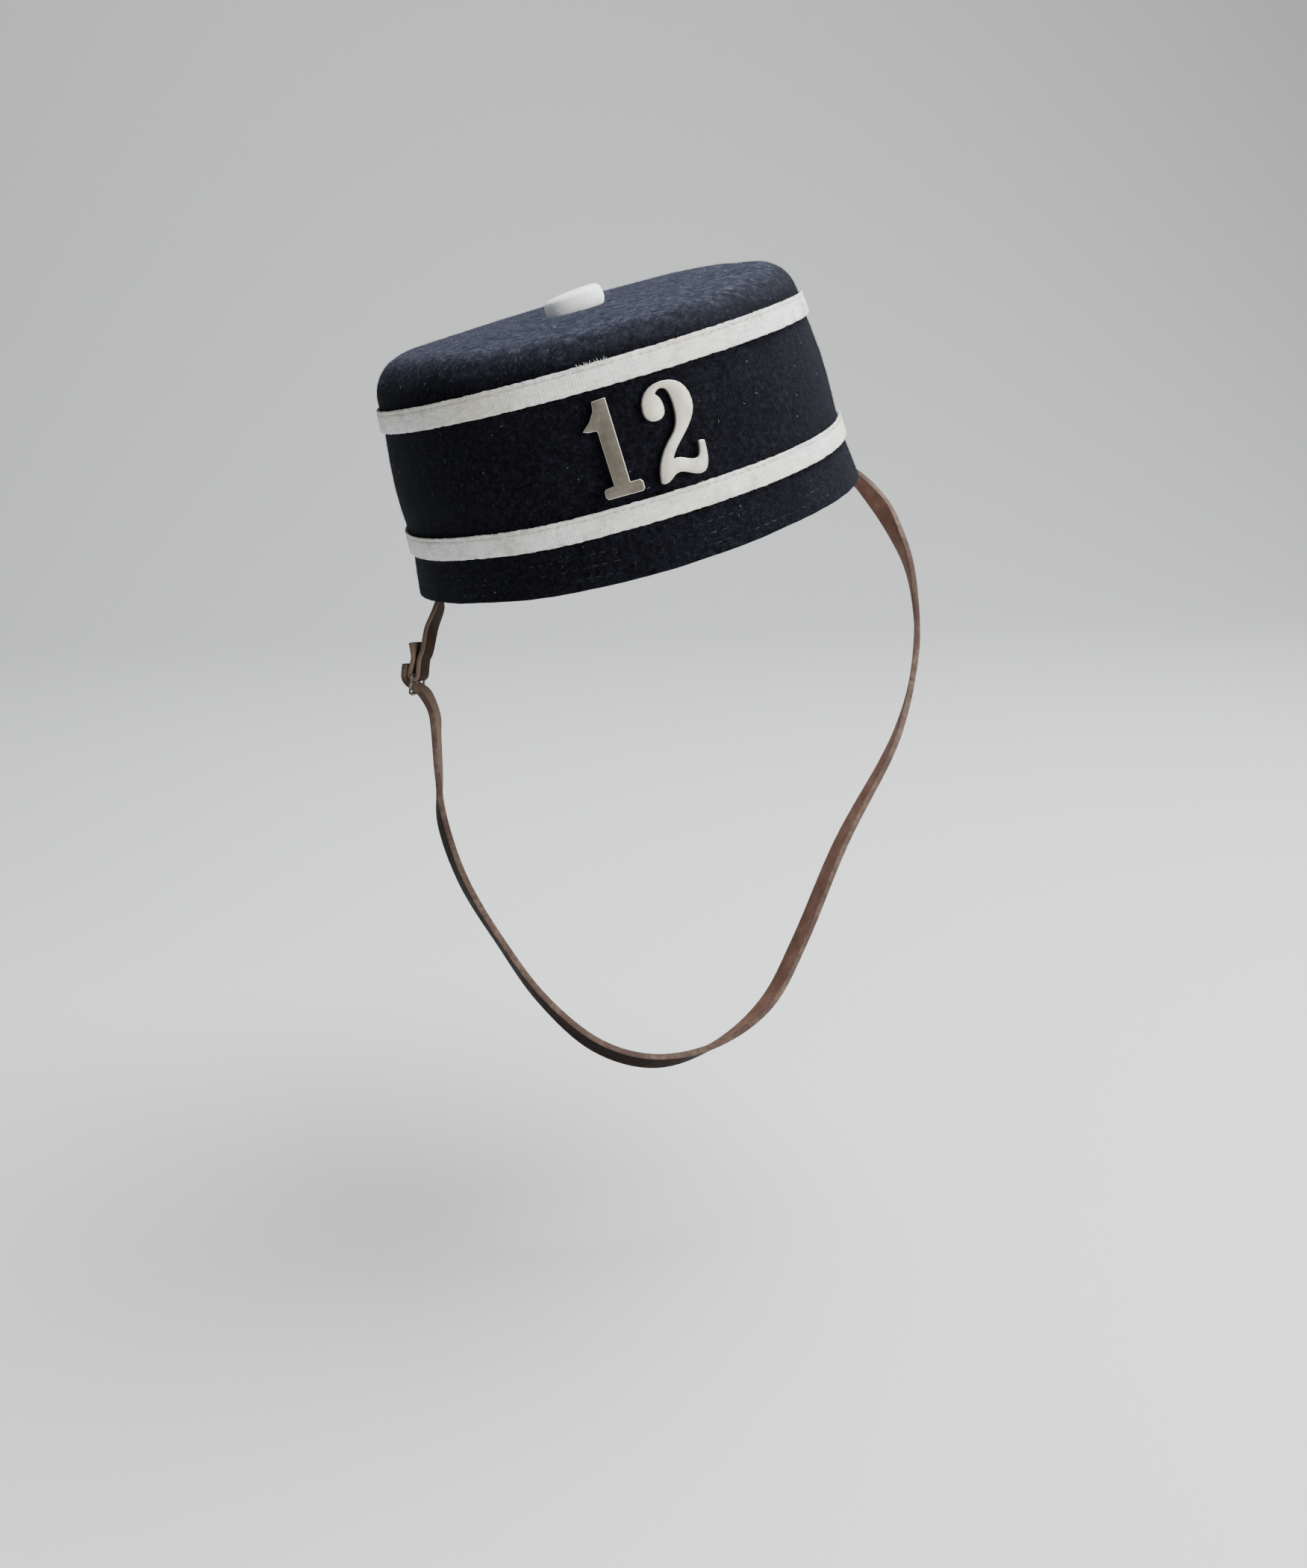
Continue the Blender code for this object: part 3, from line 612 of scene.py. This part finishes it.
def model_fibre(thickness, cuts):
    """One fibre: a thin bent thread 1 mm long, along X, rising toward its free end."""
    fibre = model_thread(3, thickness, FIBRE_LENGTH, "TRIFAN", cuts)
    for vertex in fibre.data.vertices:
        along = vertex.co.x / FIBRE_LENGTH + 0.5
        slim = 1.0 - FIBRE_TAPER * along
        vertex.co.y = vertex.co.y * slim + FIBRE_BEND * FIBRE_LENGTH * along * along
        vertex.co.z = vertex.co.z * slim + FIBRE_RISE * FIBRE_LENGTH * math.sin(FIBRE_CURL * along)
        vertex.co.x += FIBRE_LENGTH / 2.0
    return fibre


def lie(spot, normal, run, lift, size):
    """Place of a fibre that starts at a spot and leaves along a way, lifted off the cloth."""
    run = (run - normal * run.dot(normal)).normalized()
    run = run * math.cos(lift) + normal * math.sin(lift)
    side = normal.cross(run).normalized()
    axes = Matrix((run, side, run.cross(side))).transposed().to_4x4()
    return Matrix.Translation(spot) @ axes @ Matrix.Scale(size, 4)


def felt_spot(chance, share_on_top):
    """Chance point of the felt clear of the tapes, with its normal."""
    while True:
        turn = chance.uniform(0.0, 2.0 * math.pi)
        aside, ahead = math.cos(turn), math.sin(turn)
        if chance.random() < share_on_top:
            start = Vector((TOP_REACH[0] * aside, TOP_REACH[1] * ahead, 0.0))
            start *= math.sqrt(chance.random())
            start.z = OVER_TOP
            way = Vector((0.0, 0.0, -1.0))
        else:
            height = chance.uniform(*WALL_HEIGHTS)
            start = Vector((OUT_OF_HAT * aside, OUT_OF_HAT * ahead, height))
            way = Vector((-aside, -ahead, 0.0))
        spot, normal, _, _ = felt_surface.ray_cast(from_hat @ start, from_hat.to_3x3() @ way)
        if spot is not None and off_tapes((to_hat @ spot).z) >= BESIDE_TAPE:
            return spot, normal


chance = np.random.default_rng(NAP_SEED)
wall_nap, top_nap = [], []
for _ in range(NAP_COUNT):
    spot, normal = felt_spot(chance, NAP_ON_TOP)
    outward = Vector((spot.x, spot.y, 0.0)).normalized()
    run = outward * NAP_FLARE - hat_up + Vector(chance.normal(0.0, NAP_TANGLE, 3))
    place = lie(spot, normal, run, chance.uniform(*NAP_LIFT), chance.uniform(*NAP_SIZE))
    (top_nap if normal.dot(hat_up) > NAP_UPWARD else wall_nap).append(place)
# The nap on the top gets much paler fibres than the nap on the wall: painted light on the lit top.
for name, places, low, high in (
    ("felt_nap_wall", wall_nap, (0.004, 0.0042, 0.007), (0.017, 0.019, 0.028)),
    ("felt_nap_top", top_nap, (0.012, 0.014, 0.024), (0.110, 0.120, 0.165)),
):
    wool = fibre_material(name + "_wool", low, high)
    nap = lay_copies(name, model_fibre(NAP_THICKNESS, (0.0,)), places, wool)
    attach(nap, "root")

places = []
for sides, feet, tops in tapes.values():
    for heights, way in ((feet, -1.0), (tops, 1.0)):
        turns = list(chance.uniform(0.0, 2.0 * math.pi, FRAY_COUNT // 2))
        worn_edge = heights is tops and tops[0] > UPPER_TAPE[0]
        if worn_edge:
            turns += list(chance.uniform(*RAGGED_RUN, RAGGED_COUNT))
        for turn in turns:
            edge = np.interp(turn, sides, heights) - FRAY_INSET * way
            outward = TAPE_GAP + TAPE_THICKNESS * chance.uniform(*FRAY_DEPTH)
            spot, normal = wall_spot(felt_surface, turn, edge, outward)
            run = hat_up * way + Vector(chance.normal(0.0, FRAY_TANGLE, 3))
            ragged = worn_edge and RAGGED_RUN[0] < turn < RAGGED_RUN[1]
            size = chance.uniform(*(RAGGED_SIZE if ragged else FRAY_SIZE))
            places.append(lie(spot, normal, run, chance.normal(0.0, FRAY_LIFT), size))
yarn = fibre_material("cotton_yarn", (0.55, 0.54, 0.50), (0.78, 0.775, 0.75))
fray = lay_copies("tape_fray", model_fibre(FRAY_THICKNESS, (0.0,)), places, yarn)
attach(fray, "root")


# Numerals: two figures stamped from white-metal sheet and held by lugs through the felt. The
# left one is coloured a darker brownish grey and the right one a pale grey: painted reflections,
# dark and bright. Their edges carry a painted highlight.
NICKEL_EDGE_HIGHLIGHT = (0.62, 0.60, 0.54)
NICKEL_ROUGHNESS = 0.46
NUMERAL_BEVEL = 0.00008
FACES_FRONT = 0.6


def nickel_material(name, front, dark, light):
    """Old nickel: cloudy tarnish and fine scratches on the face, painted highlight on the edges."""
    material, tree, shader = start_material(name)
    places = put(tree, "ShaderNodeTexCoord")
    where = places.outputs["Object"]
    cloud = grain(tree, where, 110, 4.0, 0.6)
    fine = grain(tree, where, 900, 3.0, 0.6)
    colour = mix(tree, ramp(tree, cloud, (0.36, 0.0), (0.66, 1.0)), dark, light)
    colour = mix(tree, 0.35, colour, ramp(tree, fine, (0.35, 0.6), (0.6, 1.0)), "MULTIPLY")
    # Painted highlight: bevels and sides, turned away from the front, go toward pale nickel.
    rubbed = ramp(tree, facing(tree, places, front), (0.80, 1.0), (0.93, 0.0))
    tree.links.new(mix(tree, rubbed, colour, NICKEL_EDGE_HIGHLIGHT), shader.inputs["Base Color"])
    strokes = put(tree, "ShaderNodeMapping", {"Scale": (1.0, 1.0, 0.08)}, where)
    scratch = grain(tree, strokes.outputs["Vector"], 2400, 2.0, 0.6)
    rough = relief(tree, scratch, 0.00004, 0.35)
    tree.links.new(relief(tree, cloud, 0.0002, 0.2, rough), shader.inputs["Normal"])
    dull = ramp(tree, cloud, (0.3, NICKEL_ROUGHNESS + 0.10), (0.7, NICKEL_ROUGHNESS))
    tree.links.new(dull, shader.inputs["Roughness"])
    set_values(shader, {"Metallic": 0.85})
    return material


# Lit and shaded copies of one nickel: a painted dark reflection on the left figure, a bright one on
# the right.
for node, name, dark, light in (
    ("numeral_one", "nickel_painted_dark_reflection", (0.150, 0.130, 0.103), (0.225, 0.205, 0.168)),
    ("numeral_two", "nickel_painted_bright_reflection", (0.29, 0.277, 0.222), (0.36, 0.346, 0.283)),
):
    numeral = copy_of_solid(node, node.replace("numeral", "figure"))
    faces = [face for face in numeral.data.polygons if face.normal.y < -FACES_FRONT]
    front = sum((face.normal * face.area for face in faces), Vector()).normalized()
    finish_with(numeral, "BEVEL", width=NUMERAL_BEVEL, segments=2, angle_limit=math.radians(30))
    numeral.data.materials.append(nickel_material(name, front, dark, light))
    numeral.data.shade_smooth()
    numeral.data.set_sharp_from_angle(angle=math.radians(40))
    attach(numeral, "root")
    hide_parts(node)


# Button: a flat round mould covered in ribbed white cloth, gathered under and sewn through the
# middle of the top. The ribs run straight over it, so they slant down its side.
BUTTON_RADIUS = 0.0102
BUTTON_HEIGHT = 0.0078
BUTTON_FOOT = 0.0749
BUTTON_ASIDE = 0.0004
BUTTON_LEAN = math.radians(6.0)
BUTTON_TURNS = 480
BUTTON_STEPS = 6
BUTTON_WELD = 0.000005
RIB_PITCH = 0.00075
RIB_DEPTH = 0.00020
RIB_DRIFT = 0.00012
RIB_DRIFT_SCALE = 260.0
RIB_AZIMUTH = math.radians(206.0)
RIBS_LOST_ON_TOP = 0.7
RIBS_FADE_FROM = 0.2
RIBS_FADE_OVER = 0.5
WHITE_CLOTH = ((0.3, (0.86, 0.86, 0.85)), (0.6, (0.95, 0.95, 0.94)))
BUTTON_SIDE = (
    # shares of the button's radius and of its height
    (0.00, 0.00), (0.55, 0.00), (0.82, 0.01), (0.905, 0.06), (0.95, 0.15), (0.985, 0.27),
    (1.00, 0.40), (0.998, 0.54), (0.985, 0.67), (0.955, 0.785), (0.895, 0.87), (0.81, 0.92),
    (0.68, 0.955), (0.50, 0.975), (0.30, 0.99), (0.00, 1.00),
)


def smooth_route(points, steps):
    """Points on a smooth curve through the given ones."""
    padded = [points[0] * 2 - points[1]] + points + [points[-1] * 2 - points[-2]]
    route = []
    for first, here, there, last in zip(padded, padded[1:], padded[2:], padded[3:]):
        for step in range(steps):
            t = step / steps
            leave, arrive = (there - first) * 0.5, (last - here) * 0.5
            route.append(
                here * (2 * t ** 3 - 3 * t ** 2 + 1) + leave * (t ** 3 - 2 * t ** 2 + t)
                + there * (-2 * t ** 3 + 3 * t ** 2) + arrive * (t ** 3 - t ** 2)
            )
    route.append(points[-1])
    return route


def button_material():
    """Ribbed white cotton, slightly soiled, with painted shade in the grooves between the ribs."""
    material, tree, shader = start_material("ribbed_cotton")
    where = put(tree, "ShaderNodeTexCoord").outputs["Object"]
    soil = grain(tree, where, 240, 4.0, 0.6)
    weave = grain(tree, where, 2400, 2.0, 0.6)
    colour = ramp(tree, soil, *WHITE_CLOTH)
    colour = mix(tree, 0.15, colour, ramp(tree, weave, (0.3, 0.6), (0.6, 1.0)), "MULTIPLY")
    # Painted shade: the colour falls to a quarter in the grooves between the ribs.
    rib = put(tree, "ShaderNodeAttribute", attribute_name="rib").outputs["Fac"]
    colour = mix(tree, 1.0, colour, ramp(tree, rib, (0.0, 0.25), (0.75, 1.0)), "MULTIPLY")
    tree.links.new(colour, shader.inputs["Base Color"])
    tree.links.new(relief(tree, weave, 0.00012, 0.5), shader.inputs["Normal"])
    set_values(shader, {"Roughness": 0.85})
    return material


bpy.ops.object.select_all(action="DESELECT")
bpy.ops.mesh.primitive_circle_add(vertices=3, radius=0.001)
button = bpy.context.object
button.name = "covered_button"
side = [
    Vector((reach * BUTTON_RADIUS, 0.0, height * BUTTON_HEIGHT)) for reach, height in BUTTON_SIDE
]
course = smooth_route(side, BUTTON_STEPS)
from_top = run_lengths(course[::-1])[::-1]
profile = bmesh.new()
rows = [profile.verts.new(point) for point in course]
for below, above in zip(rows, rows[1:]):
    profile.edges.new((below, above))
profile.to_mesh(button.data)
profile.free()
bpy.ops.object.mode_set(mode="EDIT")
bpy.ops.mesh.select_all(action="SELECT")
bpy.ops.mesh.spin(
    steps=BUTTON_TURNS, angle=2.0 * math.pi, center=(0.0, 0.0, 0.0), axis=(0.0, 0.0, 1.0),
)
bpy.ops.mesh.select_all(action="SELECT")
bpy.ops.mesh.remove_doubles(threshold=BUTTON_WELD)
bpy.ops.mesh.normals_make_consistent(inside=False)
bpy.ops.object.mode_set(mode="OBJECT")
bare = [(vertex.co.copy(), vertex.normal.copy()) for vertex in button.data.vertices]
ribs = []
for vertex, (spot, normal) in zip(button.data.vertices, bare):
    reach = spot.to_2d().length
    ring = min(
        range(len(course)),
        key=lambda row: abs(course[row].x - reach) + abs(course[row].z - spot.z),
    )
    across = from_top[ring] * math.cos(math.atan2(spot.y, spot.x) - RIB_AZIMUTH)
    across += RIB_DRIFT * noise.noise(spot * RIB_DRIFT_SCALE)
    rib = math.sqrt(abs(math.cos(math.pi * across / RIB_PITCH)))
    upward = min(max((normal.z - RIBS_FADE_FROM) / RIBS_FADE_OVER, 0.0), 1.0)
    ribs.append(1.0 - (1.0 - RIBS_LOST_ON_TOP * upward) * (1.0 - rib))
    vertex.co = spot + normal * RIB_DEPTH * (ribs[-1] - 1.0)
button.data.attributes.new("rib", "FLOAT", "POINT").data.foreach_set("value", ribs)
lean = Matrix.Rotation(-BUTTON_LEAN, 4, "Y")
button.data.transform(from_hat @ Matrix.Translation((BUTTON_ASIDE, 0.0, BUTTON_FOOT)) @ lean)
button.data.materials.append(button_material())
button.data.shade_smooth()
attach(button, "root")
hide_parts("top_button")


# Chin strap and buckle tab: two strips cut from one russet hide, dyed black on the grain side
# that faces out; the flesh side and the cut edges stay brown. Both are sewn inside the rim.
STRAP_WIDTH = 0.0070
STRAP_THICKNESS = 0.0021
TAB_THICKNESS = 0.0016
STRAP_STEPS = 8
STRAP_ACROSS = (0.0, 0.25, 0.5, 0.75, 1.0)
STRAP_BEVEL = 0.00028
STRAP_ROUTE = (
    # middle x, y, z, front edge x, y, z
    (0.04960, 0.05762, 0.02056, -0.266, 0.000, 0.964),
    (0.05600, 0.04975, 0.01978, -0.266, 0.000, 0.964),
    (0.06218, 0.04108, 0.01713, -0.266, 0.000, 0.964),
    (0.06841, 0.03031, 0.01434, -0.266, 0.000, 0.964),
    (0.07423, 0.01897, 0.01536, -0.257, -0.259, 0.931),
    (0.07827, 0.00816, 0.01633, -0.225, -0.530, 0.818),
    (0.08597, 0.00068, 0.00709, 0.381, -0.616, 0.690),
    (0.09082, -0.00570, -0.00297, 0.157, -0.811, 0.564),
    (0.09358, -0.01118, -0.01204, -0.067, -0.877, 0.476),
    (0.09463, -0.01657, -0.02244, -0.212, -0.884, 0.417),
    (0.09444, -0.02197, -0.03449, -0.260, -0.857, 0.444),
    (0.09149, -0.02888, -0.04801, -0.192, -0.844, 0.502),
    (0.08654, -0.03577, -0.06072, -0.031, -0.873, 0.486),
    (0.07930, -0.04260, -0.07343, 0.118, -0.935, 0.334),
    (0.06255, -0.05243, -0.09883, 0.258, -0.952, 0.165),
    (0.04750, -0.06098, -0.12953, 0.333, -0.939, 0.087),
    (0.03532, -0.06675, -0.14932, 0.260, -0.962, 0.079),
    (0.01771, -0.07163, -0.16104, 0.009, -0.915, 0.402),
    (-0.00248, -0.07402, -0.16500, 0.033, -0.656, 0.754),
    (-0.02199, -0.07170, -0.15939, 0.275, -0.694, 0.665),
    (-0.03932, -0.06825, -0.14371, 0.231, -0.854, 0.466),
    (-0.05255, -0.06143, -0.12540, 0.093, -0.891, 0.444),
    (-0.06369, -0.05265, -0.10725, 0.151, -0.827, 0.542),
    (-0.06997, -0.04125, -0.08976, 0.200, -0.777, 0.597),
    (-0.07064, -0.03097, -0.07672, -0.132, -0.810, 0.571),
    (-0.07102, -0.02317, -0.06435, -0.235, -0.818, 0.525),
    (-0.07150, -0.01875, -0.05808, -0.399, -0.786, 0.471),
    (-0.07435, -0.01427, -0.05231, -0.479, -0.864, 0.153),
    (-0.07702, -0.01242, -0.05022, -0.479, -0.864, 0.153),
    (-0.07899, -0.01107, -0.04875, -0.479, -0.864, 0.153),
    (-0.07973, -0.01038, -0.04719, -0.479, -0.864, 0.153),
    (-0.07970, -0.01015, -0.04577, -0.479, -0.864, 0.153),
    (-0.07928, -0.00984, -0.04272, -0.479, -0.864, 0.153),
)
TAB_ROUTE = (
    # middle x, y, z, front edge x, y, z
    (-0.05332, 0.05777, -0.00779, -0.266, 0.000, 0.964),
    (-0.05847, 0.04984, -0.01139, -0.266, 0.000, 0.964),
    (-0.06329, 0.03969, -0.01526, -0.266, 0.000, 0.964),
    (-0.06824, 0.01969, -0.02025, -0.262, -0.174, 0.949),
    (-0.06820, 0.00000, -0.02387, -0.197, -0.669, 0.716),
    (-0.07150, -0.00720, -0.03151, -0.479, -0.864, 0.153),
    (-0.07311, -0.01087, -0.03779, -0.479, -0.864, 0.153),
    (-0.07434, -0.01226, -0.04092, -0.479, -0.864, 0.153),
    (-0.07506, -0.01279, -0.04615, -0.479, -0.864, 0.153),
)
BUCKLE_MIDDLE = Vector((-0.07645, -0.01200, -0.04603))
BUCKLE_EDGE = Vector((-0.47912, -0.86436, 0.15270))
BUCKLE_UP = Vector((0.13539, 0.09911, 0.98582))
BUCKLE_OUT = Vector((-0.86724, 0.49301, 0.06954))
FOLD_RADIUS = 0.0016
FOLD_STEPS = 18
TAB_RETURN = (
    # middle of the turned-back end x, y, z
    (-0.07783, -0.01121, -0.04592),
    (-0.07715, -0.01107, -0.04302),
    (-0.07649, -0.01104, -0.04075),
    (-0.07667, -0.01045, -0.03799),
    (-0.07709, -0.00977, -0.03542),
)
FLESH_SIDE = (
    (0.30, (0.130, 0.066, 0.046)), (0.55, (0.190, 0.100, 0.072)), (0.75, (0.250, 0.140, 0.104)),
)
FLESH_TOWARD_BUCKLE = (0.082, 0.066, 0.050)
WORN_GRAIN = (0.055, 0.031, 0.021)
CUT_LAYERS = ((0.3, (0.058, 0.038, 0.028)), (0.6, (0.118, 0.080, 0.060)))
DARK_EDGE = (0.048, 0.028, 0.023)
EDGE_PAINTED_LIGHT = (0.205, 0.146, 0.102)


def leather_materials(name, black, rubbed):
    """Flesh side, grain side and cut edge of a strap, its dye, and painted light on its edge."""
    flesh, tree, shader = start_material(name + "_flesh_side")
    where = put(tree, "ShaderNodeTexCoord").outputs["Object"]
    mottle = grain(tree, where, 160, 5.0, 0.65)
    fuzz = grain(tree, where, 1600, 3.0, 0.6)
    split = put(tree, "ShaderNodeSeparateXYZ", where=where)
    # The flesh side turns a duller, darker brown toward negative X, the buckle side.
    to_right = sum_up(tree, "MULTIPLY", split.outputs["X"], -12.0)
    toward_buckle = ramp(tree, to_right, (0.25, 0.0), (0.85, 0.75))
    colour = mix(tree, toward_buckle, ramp(tree, mottle, *FLESH_SIDE), FLESH_TOWARD_BUCKLE)
    colour = mix(tree, 0.4, colour, ramp(tree, fuzz, (0.3, 0.5), (0.65, 1.0)), "MULTIPLY")
    tree.links.new(colour, shader.inputs["Base Color"])
    rough = relief(tree, mottle, 0.0004, 0.4)
    tree.links.new(relief(tree, fuzz, 0.0002, 0.6, rough), shader.inputs["Normal"])
    set_values(shader, {"Roughness": 0.85, "Specular IOR Level": 0.2})

    dyed, tree, shader = start_material(name + "_grain_side")
    where = put(tree, "ShaderNodeTexCoord").outputs["Object"]
    pores = put(tree, "ShaderNodeTexVoronoi", {"Scale": 1500.0}, where)
    wear = grain(tree, where, 70, 5.0, 0.7)
    colour = mix(tree, ramp(tree, wear, (0.52, 0.0), (0.74, 0.5)), black, WORN_GRAIN)
    tree.links.new(colour, shader.inputs["Base Color"])
    rough = relief(tree, pores.outputs["Distance"], 0.0001, 0.5)
    tree.links.new(relief(tree, wear, 0.0003, 0.4, rough), shader.inputs["Normal"])
    tree.links.new(ramp(tree, wear, (0.4, 0.62), (0.7, 0.8)), shader.inputs["Roughness"])
    set_values(shader, {"Specular IOR Level": 0.06})

    edge, tree, shader = start_material(name + "_cut_edge")
    where = put(tree, "ShaderNodeTexCoord").outputs["Object"]
    layers = grain(tree, where, 700, 3.0, 0.6)
    rub = grain(tree, where, 120, 3.0, 0.6)
    colour = ramp(tree, layers, *CUT_LAYERS)
    colour = mix(tree, ramp(tree, rub, (0.40, 0.8), (0.62, 0.0)), colour, DARK_EDGE)
    # Painted light: the cut edge is mixed toward pale tan by the given share.
    tree.links.new(mix(tree, rubbed, colour, EDGE_PAINTED_LIGHT), shader.inputs["Base Color"])
    tree.links.new(relief(tree, layers, 0.0002, 0.6), shader.inputs["Normal"])
    set_values(shader, {"Roughness": 0.75, "Specular IOR Level": 0.2})
    return flesh, dyed, edge


def cut_strap(name, centres, edges, thickness, leathers):
    """Leather strip along its middle line, its front edge turned as given."""
    def strap_place(along, over):
        """Point of the strip: off its middle line toward the front edge or away from it."""
        after, before = centres[min(along + 1, len(centres) - 1)], centres[max(along - 1, 0)]
        run = (after - before).normalized()
        edge = (edges[along] - run * edges[along].dot(run)).normalized()
        return centres[along] + edge * (STRAP_ACROSS[over] - 0.5) * STRAP_WIDTH

    across = [share * STRAP_WIDTH for share in STRAP_ACROSS]
    strap = lay_strip(name, centres, across, strap_place, run_lengths(centres))
    for leather in leathers:
        strap.data.materials.append(leather)
    finish_with(strap, "SOLIDIFY", thickness=thickness, offset=0.0,
                material_offset=1, material_offset_rim=2)
    finish_with(strap, "BEVEL", width=STRAP_BEVEL, segments=2, angle_limit=math.radians(50),
                material=2)
    strap.data.shade_smooth()
    return strap


strap_centres = smooth_route([Vector(row[:3]) for row in STRAP_ROUTE], STRAP_STEPS)
strap_edges = smooth_route([Vector(row[3:]) for row in STRAP_ROUTE], STRAP_STEPS)
strap_leathers = leather_materials("strap", (0.009, 0.006, 0.005), 0.0)
chin_strap = cut_strap(
    "leather_chin_strap", strap_centres, strap_edges, STRAP_THICKNESS, strap_leathers,
)
tab_centres = smooth_route([Vector(row[:3]) for row in TAB_ROUTE], STRAP_STEPS)
tab_edges = smooth_route([Vector(row[3:]) for row in TAB_ROUTE], STRAP_STEPS)
for step in range(FOLD_STEPS - 1, 0, -1):
    turn = math.pi * step / FOLD_STEPS
    away = BUCKLE_OUT * math.cos(turn) - BUCKLE_UP * math.sin(turn)
    tab_centres.append(BUCKLE_MIDDLE + away * FOLD_RADIUS)
tab_centres += smooth_route([Vector(row) for row in TAB_RETURN], STRAP_STEPS)
tab_edges += [BUCKLE_EDGE] * (len(tab_centres) - len(tab_edges))
# The tab's cut edge gets painted light, standing in for the light it would catch under the rim.
tab_leathers = leather_materials("tab", (0.017, 0.0082, 0.0050), 0.42)
tab = cut_strap("leather_buckle_tab", tab_centres, tab_edges, TAB_THICKNESS, tab_leathers)
for strap, node in ((chin_strap, "chin_strap"), (tab, "buckle_tab")):
    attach(strap, "root")
    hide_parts(node)


# Buckle: a small frame of blackened wire that hangs in the tab's fold, with a straight prong
# that goes through the strap. Most of the black has rubbed off to a dull grey.
PRONG_BEVEL = 0.00015
RUBBED_WIRE = ((0.4, (0.070, 0.064, 0.059)), (0.7, (0.220, 0.200, 0.180)))


def wire_material():
    """Blackened iron wire, rubbed grey in places."""
    material, tree, shader = start_material("blackened_wire")
    where = put(tree, "ShaderNodeTexCoord").outputs["Object"]
    rub = grain(tree, where, 500, 3.0, 0.6)
    tree.links.new(ramp(tree, rub, *RUBBED_WIRE), shader.inputs["Base Color"])
    tree.links.new(ramp(tree, rub, (0.3, 0.60), (0.7, 0.42)), shader.inputs["Roughness"])
    tree.links.new(relief(tree, rub, 0.0001, 0.4), shader.inputs["Normal"])
    set_values(shader, {"Metallic": 0.8})
    return material


blackened_wire = wire_material()
for node, name in (("buckle_frame", "wire_frame"), ("buckle_prong", "wire_prong")):
    wire = copy_of_solid(node, name)
    if node == "buckle_prong":
        finish_with(wire, "BEVEL", width=PRONG_BEVEL, segments=2, angle_limit=math.radians(60))
    else:
        finish_with(wire, "SUBSURF", levels=2, render_levels=2)
    wire.data.materials.append(blackened_wire)
    wire.data.shade_smooth()
    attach(wire, "root")
    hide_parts(node)


# Lint: short pale fibres of other cloth, caught in the nap and lying loose on it, about two in
# three of them on the top.
LINT_SEED = 21
LINT_COUNT = 330
LINT_THICKNESS = 0.00010
LINT_ON_TOP = 0.68
LINT_OFF_FELT = 0.0001
LINT_LIFT = (-0.05, 0.25)
LINT_SIZE = (0.3, 1.2)

chance = np.random.default_rng(LINT_SEED)
places = []
for _ in range(LINT_COUNT):
    spot, normal = felt_spot(chance, LINT_ON_TOP)
    spot += normal * LINT_OFF_FELT
    run = Vector(chance.normal(0.0, 1.0, 3))
    places.append(lie(spot, normal, run, chance.uniform(*LINT_LIFT), chance.uniform(*LINT_SIZE)))
pale_lint = fibre_material("lint", (0.08, 0.09, 0.12), (0.40, 0.41, 0.44))
lint = lay_copies(
    "felt_lint", model_fibre(LINT_THICKNESS, (-0.25, 0.0, 0.25)), places, pale_lint,
)
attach(lint, "root")


# Studio: a pale sweep of paper under and behind the hat, and large soft lamps.
FLOOR = -0.243
PAPER_SIZE = 6.0
PAPER_BACK = 2.0
PAPER_RISE = 3.0
PAPER_BEND = 0.9
PAPER_COLOUR = (0.62, 0.62, 0.615, 1.0)
NEAR = 0.01
LAMPS = (
    # name, place, size, power, colour
    ("lamp_high", (0.50, 0.12, 1.20), 1.1, 57.0, (0.95, 0.975, 1.0)),
    ("lamp_front", (1.00, -1.28, 0.55), 0.9, 46.0, (1.0, 0.995, 0.98)),
    ("lamp_side", (-1.4, -0.6, 0.5), 0.8, 3.0, (0.96, 0.98, 1.0)),
)


def is_fold(one, other):
    """Edge of the paper along which it turns up."""
    return all(abs(end.y - PAPER_BACK) < NEAR and abs(end.z - FLOOR) < NEAR for end in (one, other))


bpy.ops.object.select_all(action="DESELECT")
bpy.ops.mesh.primitive_plane_add(
    size=PAPER_SIZE, location=(0.0, PAPER_BACK - PAPER_SIZE / 2.0, FLOOR),
)
sweep = bpy.context.object
sweep.name = "paper_sweep"
bpy.ops.object.transform_apply(location=True, rotation=False, scale=False)
pick_edges(sweep, is_fold)
bpy.ops.object.mode_set(mode="EDIT")
bpy.ops.mesh.select_mode(type="EDGE")
bpy.ops.mesh.extrude_region_move(TRANSFORM_OT_translate={"value": (0.0, 0.0, PAPER_RISE)})
bpy.ops.object.mode_set(mode="OBJECT")
pick_edges(sweep, is_fold)
bpy.ops.object.mode_set(mode="EDIT")
bpy.ops.mesh.bevel(offset=PAPER_BEND, segments=24, affect="EDGES")
bpy.ops.object.mode_set(mode="OBJECT")
sweep.data.shade_smooth()
paper, tree, shader = start_material("pale_paper")
set_values(shader, {"Base Color": PAPER_COLOUR, "Roughness": 0.95})
sweep.data.materials.append(paper)

for name, place, size, power, tint in LAMPS:
    light = bpy.data.lights.new(name, "AREA")
    light.size = size
    light.energy = power
    light.color = tint
    lamp = bpy.data.objects.new(name, light)
    bpy.context.scene.collection.objects.link(lamp)
    lamp.location = place
    lamp.rotation_euler = (-Vector(place)).to_track_quat("-Z", "Y").to_euler()
sky = bpy.data.worlds.new("studio_air")
sky.use_nodes = True
set_values(sky.node_tree.nodes["Background"], {"Color": (0.80, 0.83, 0.88, 1.0), "Strength": 0.16})
bpy.context.scene.world = sky
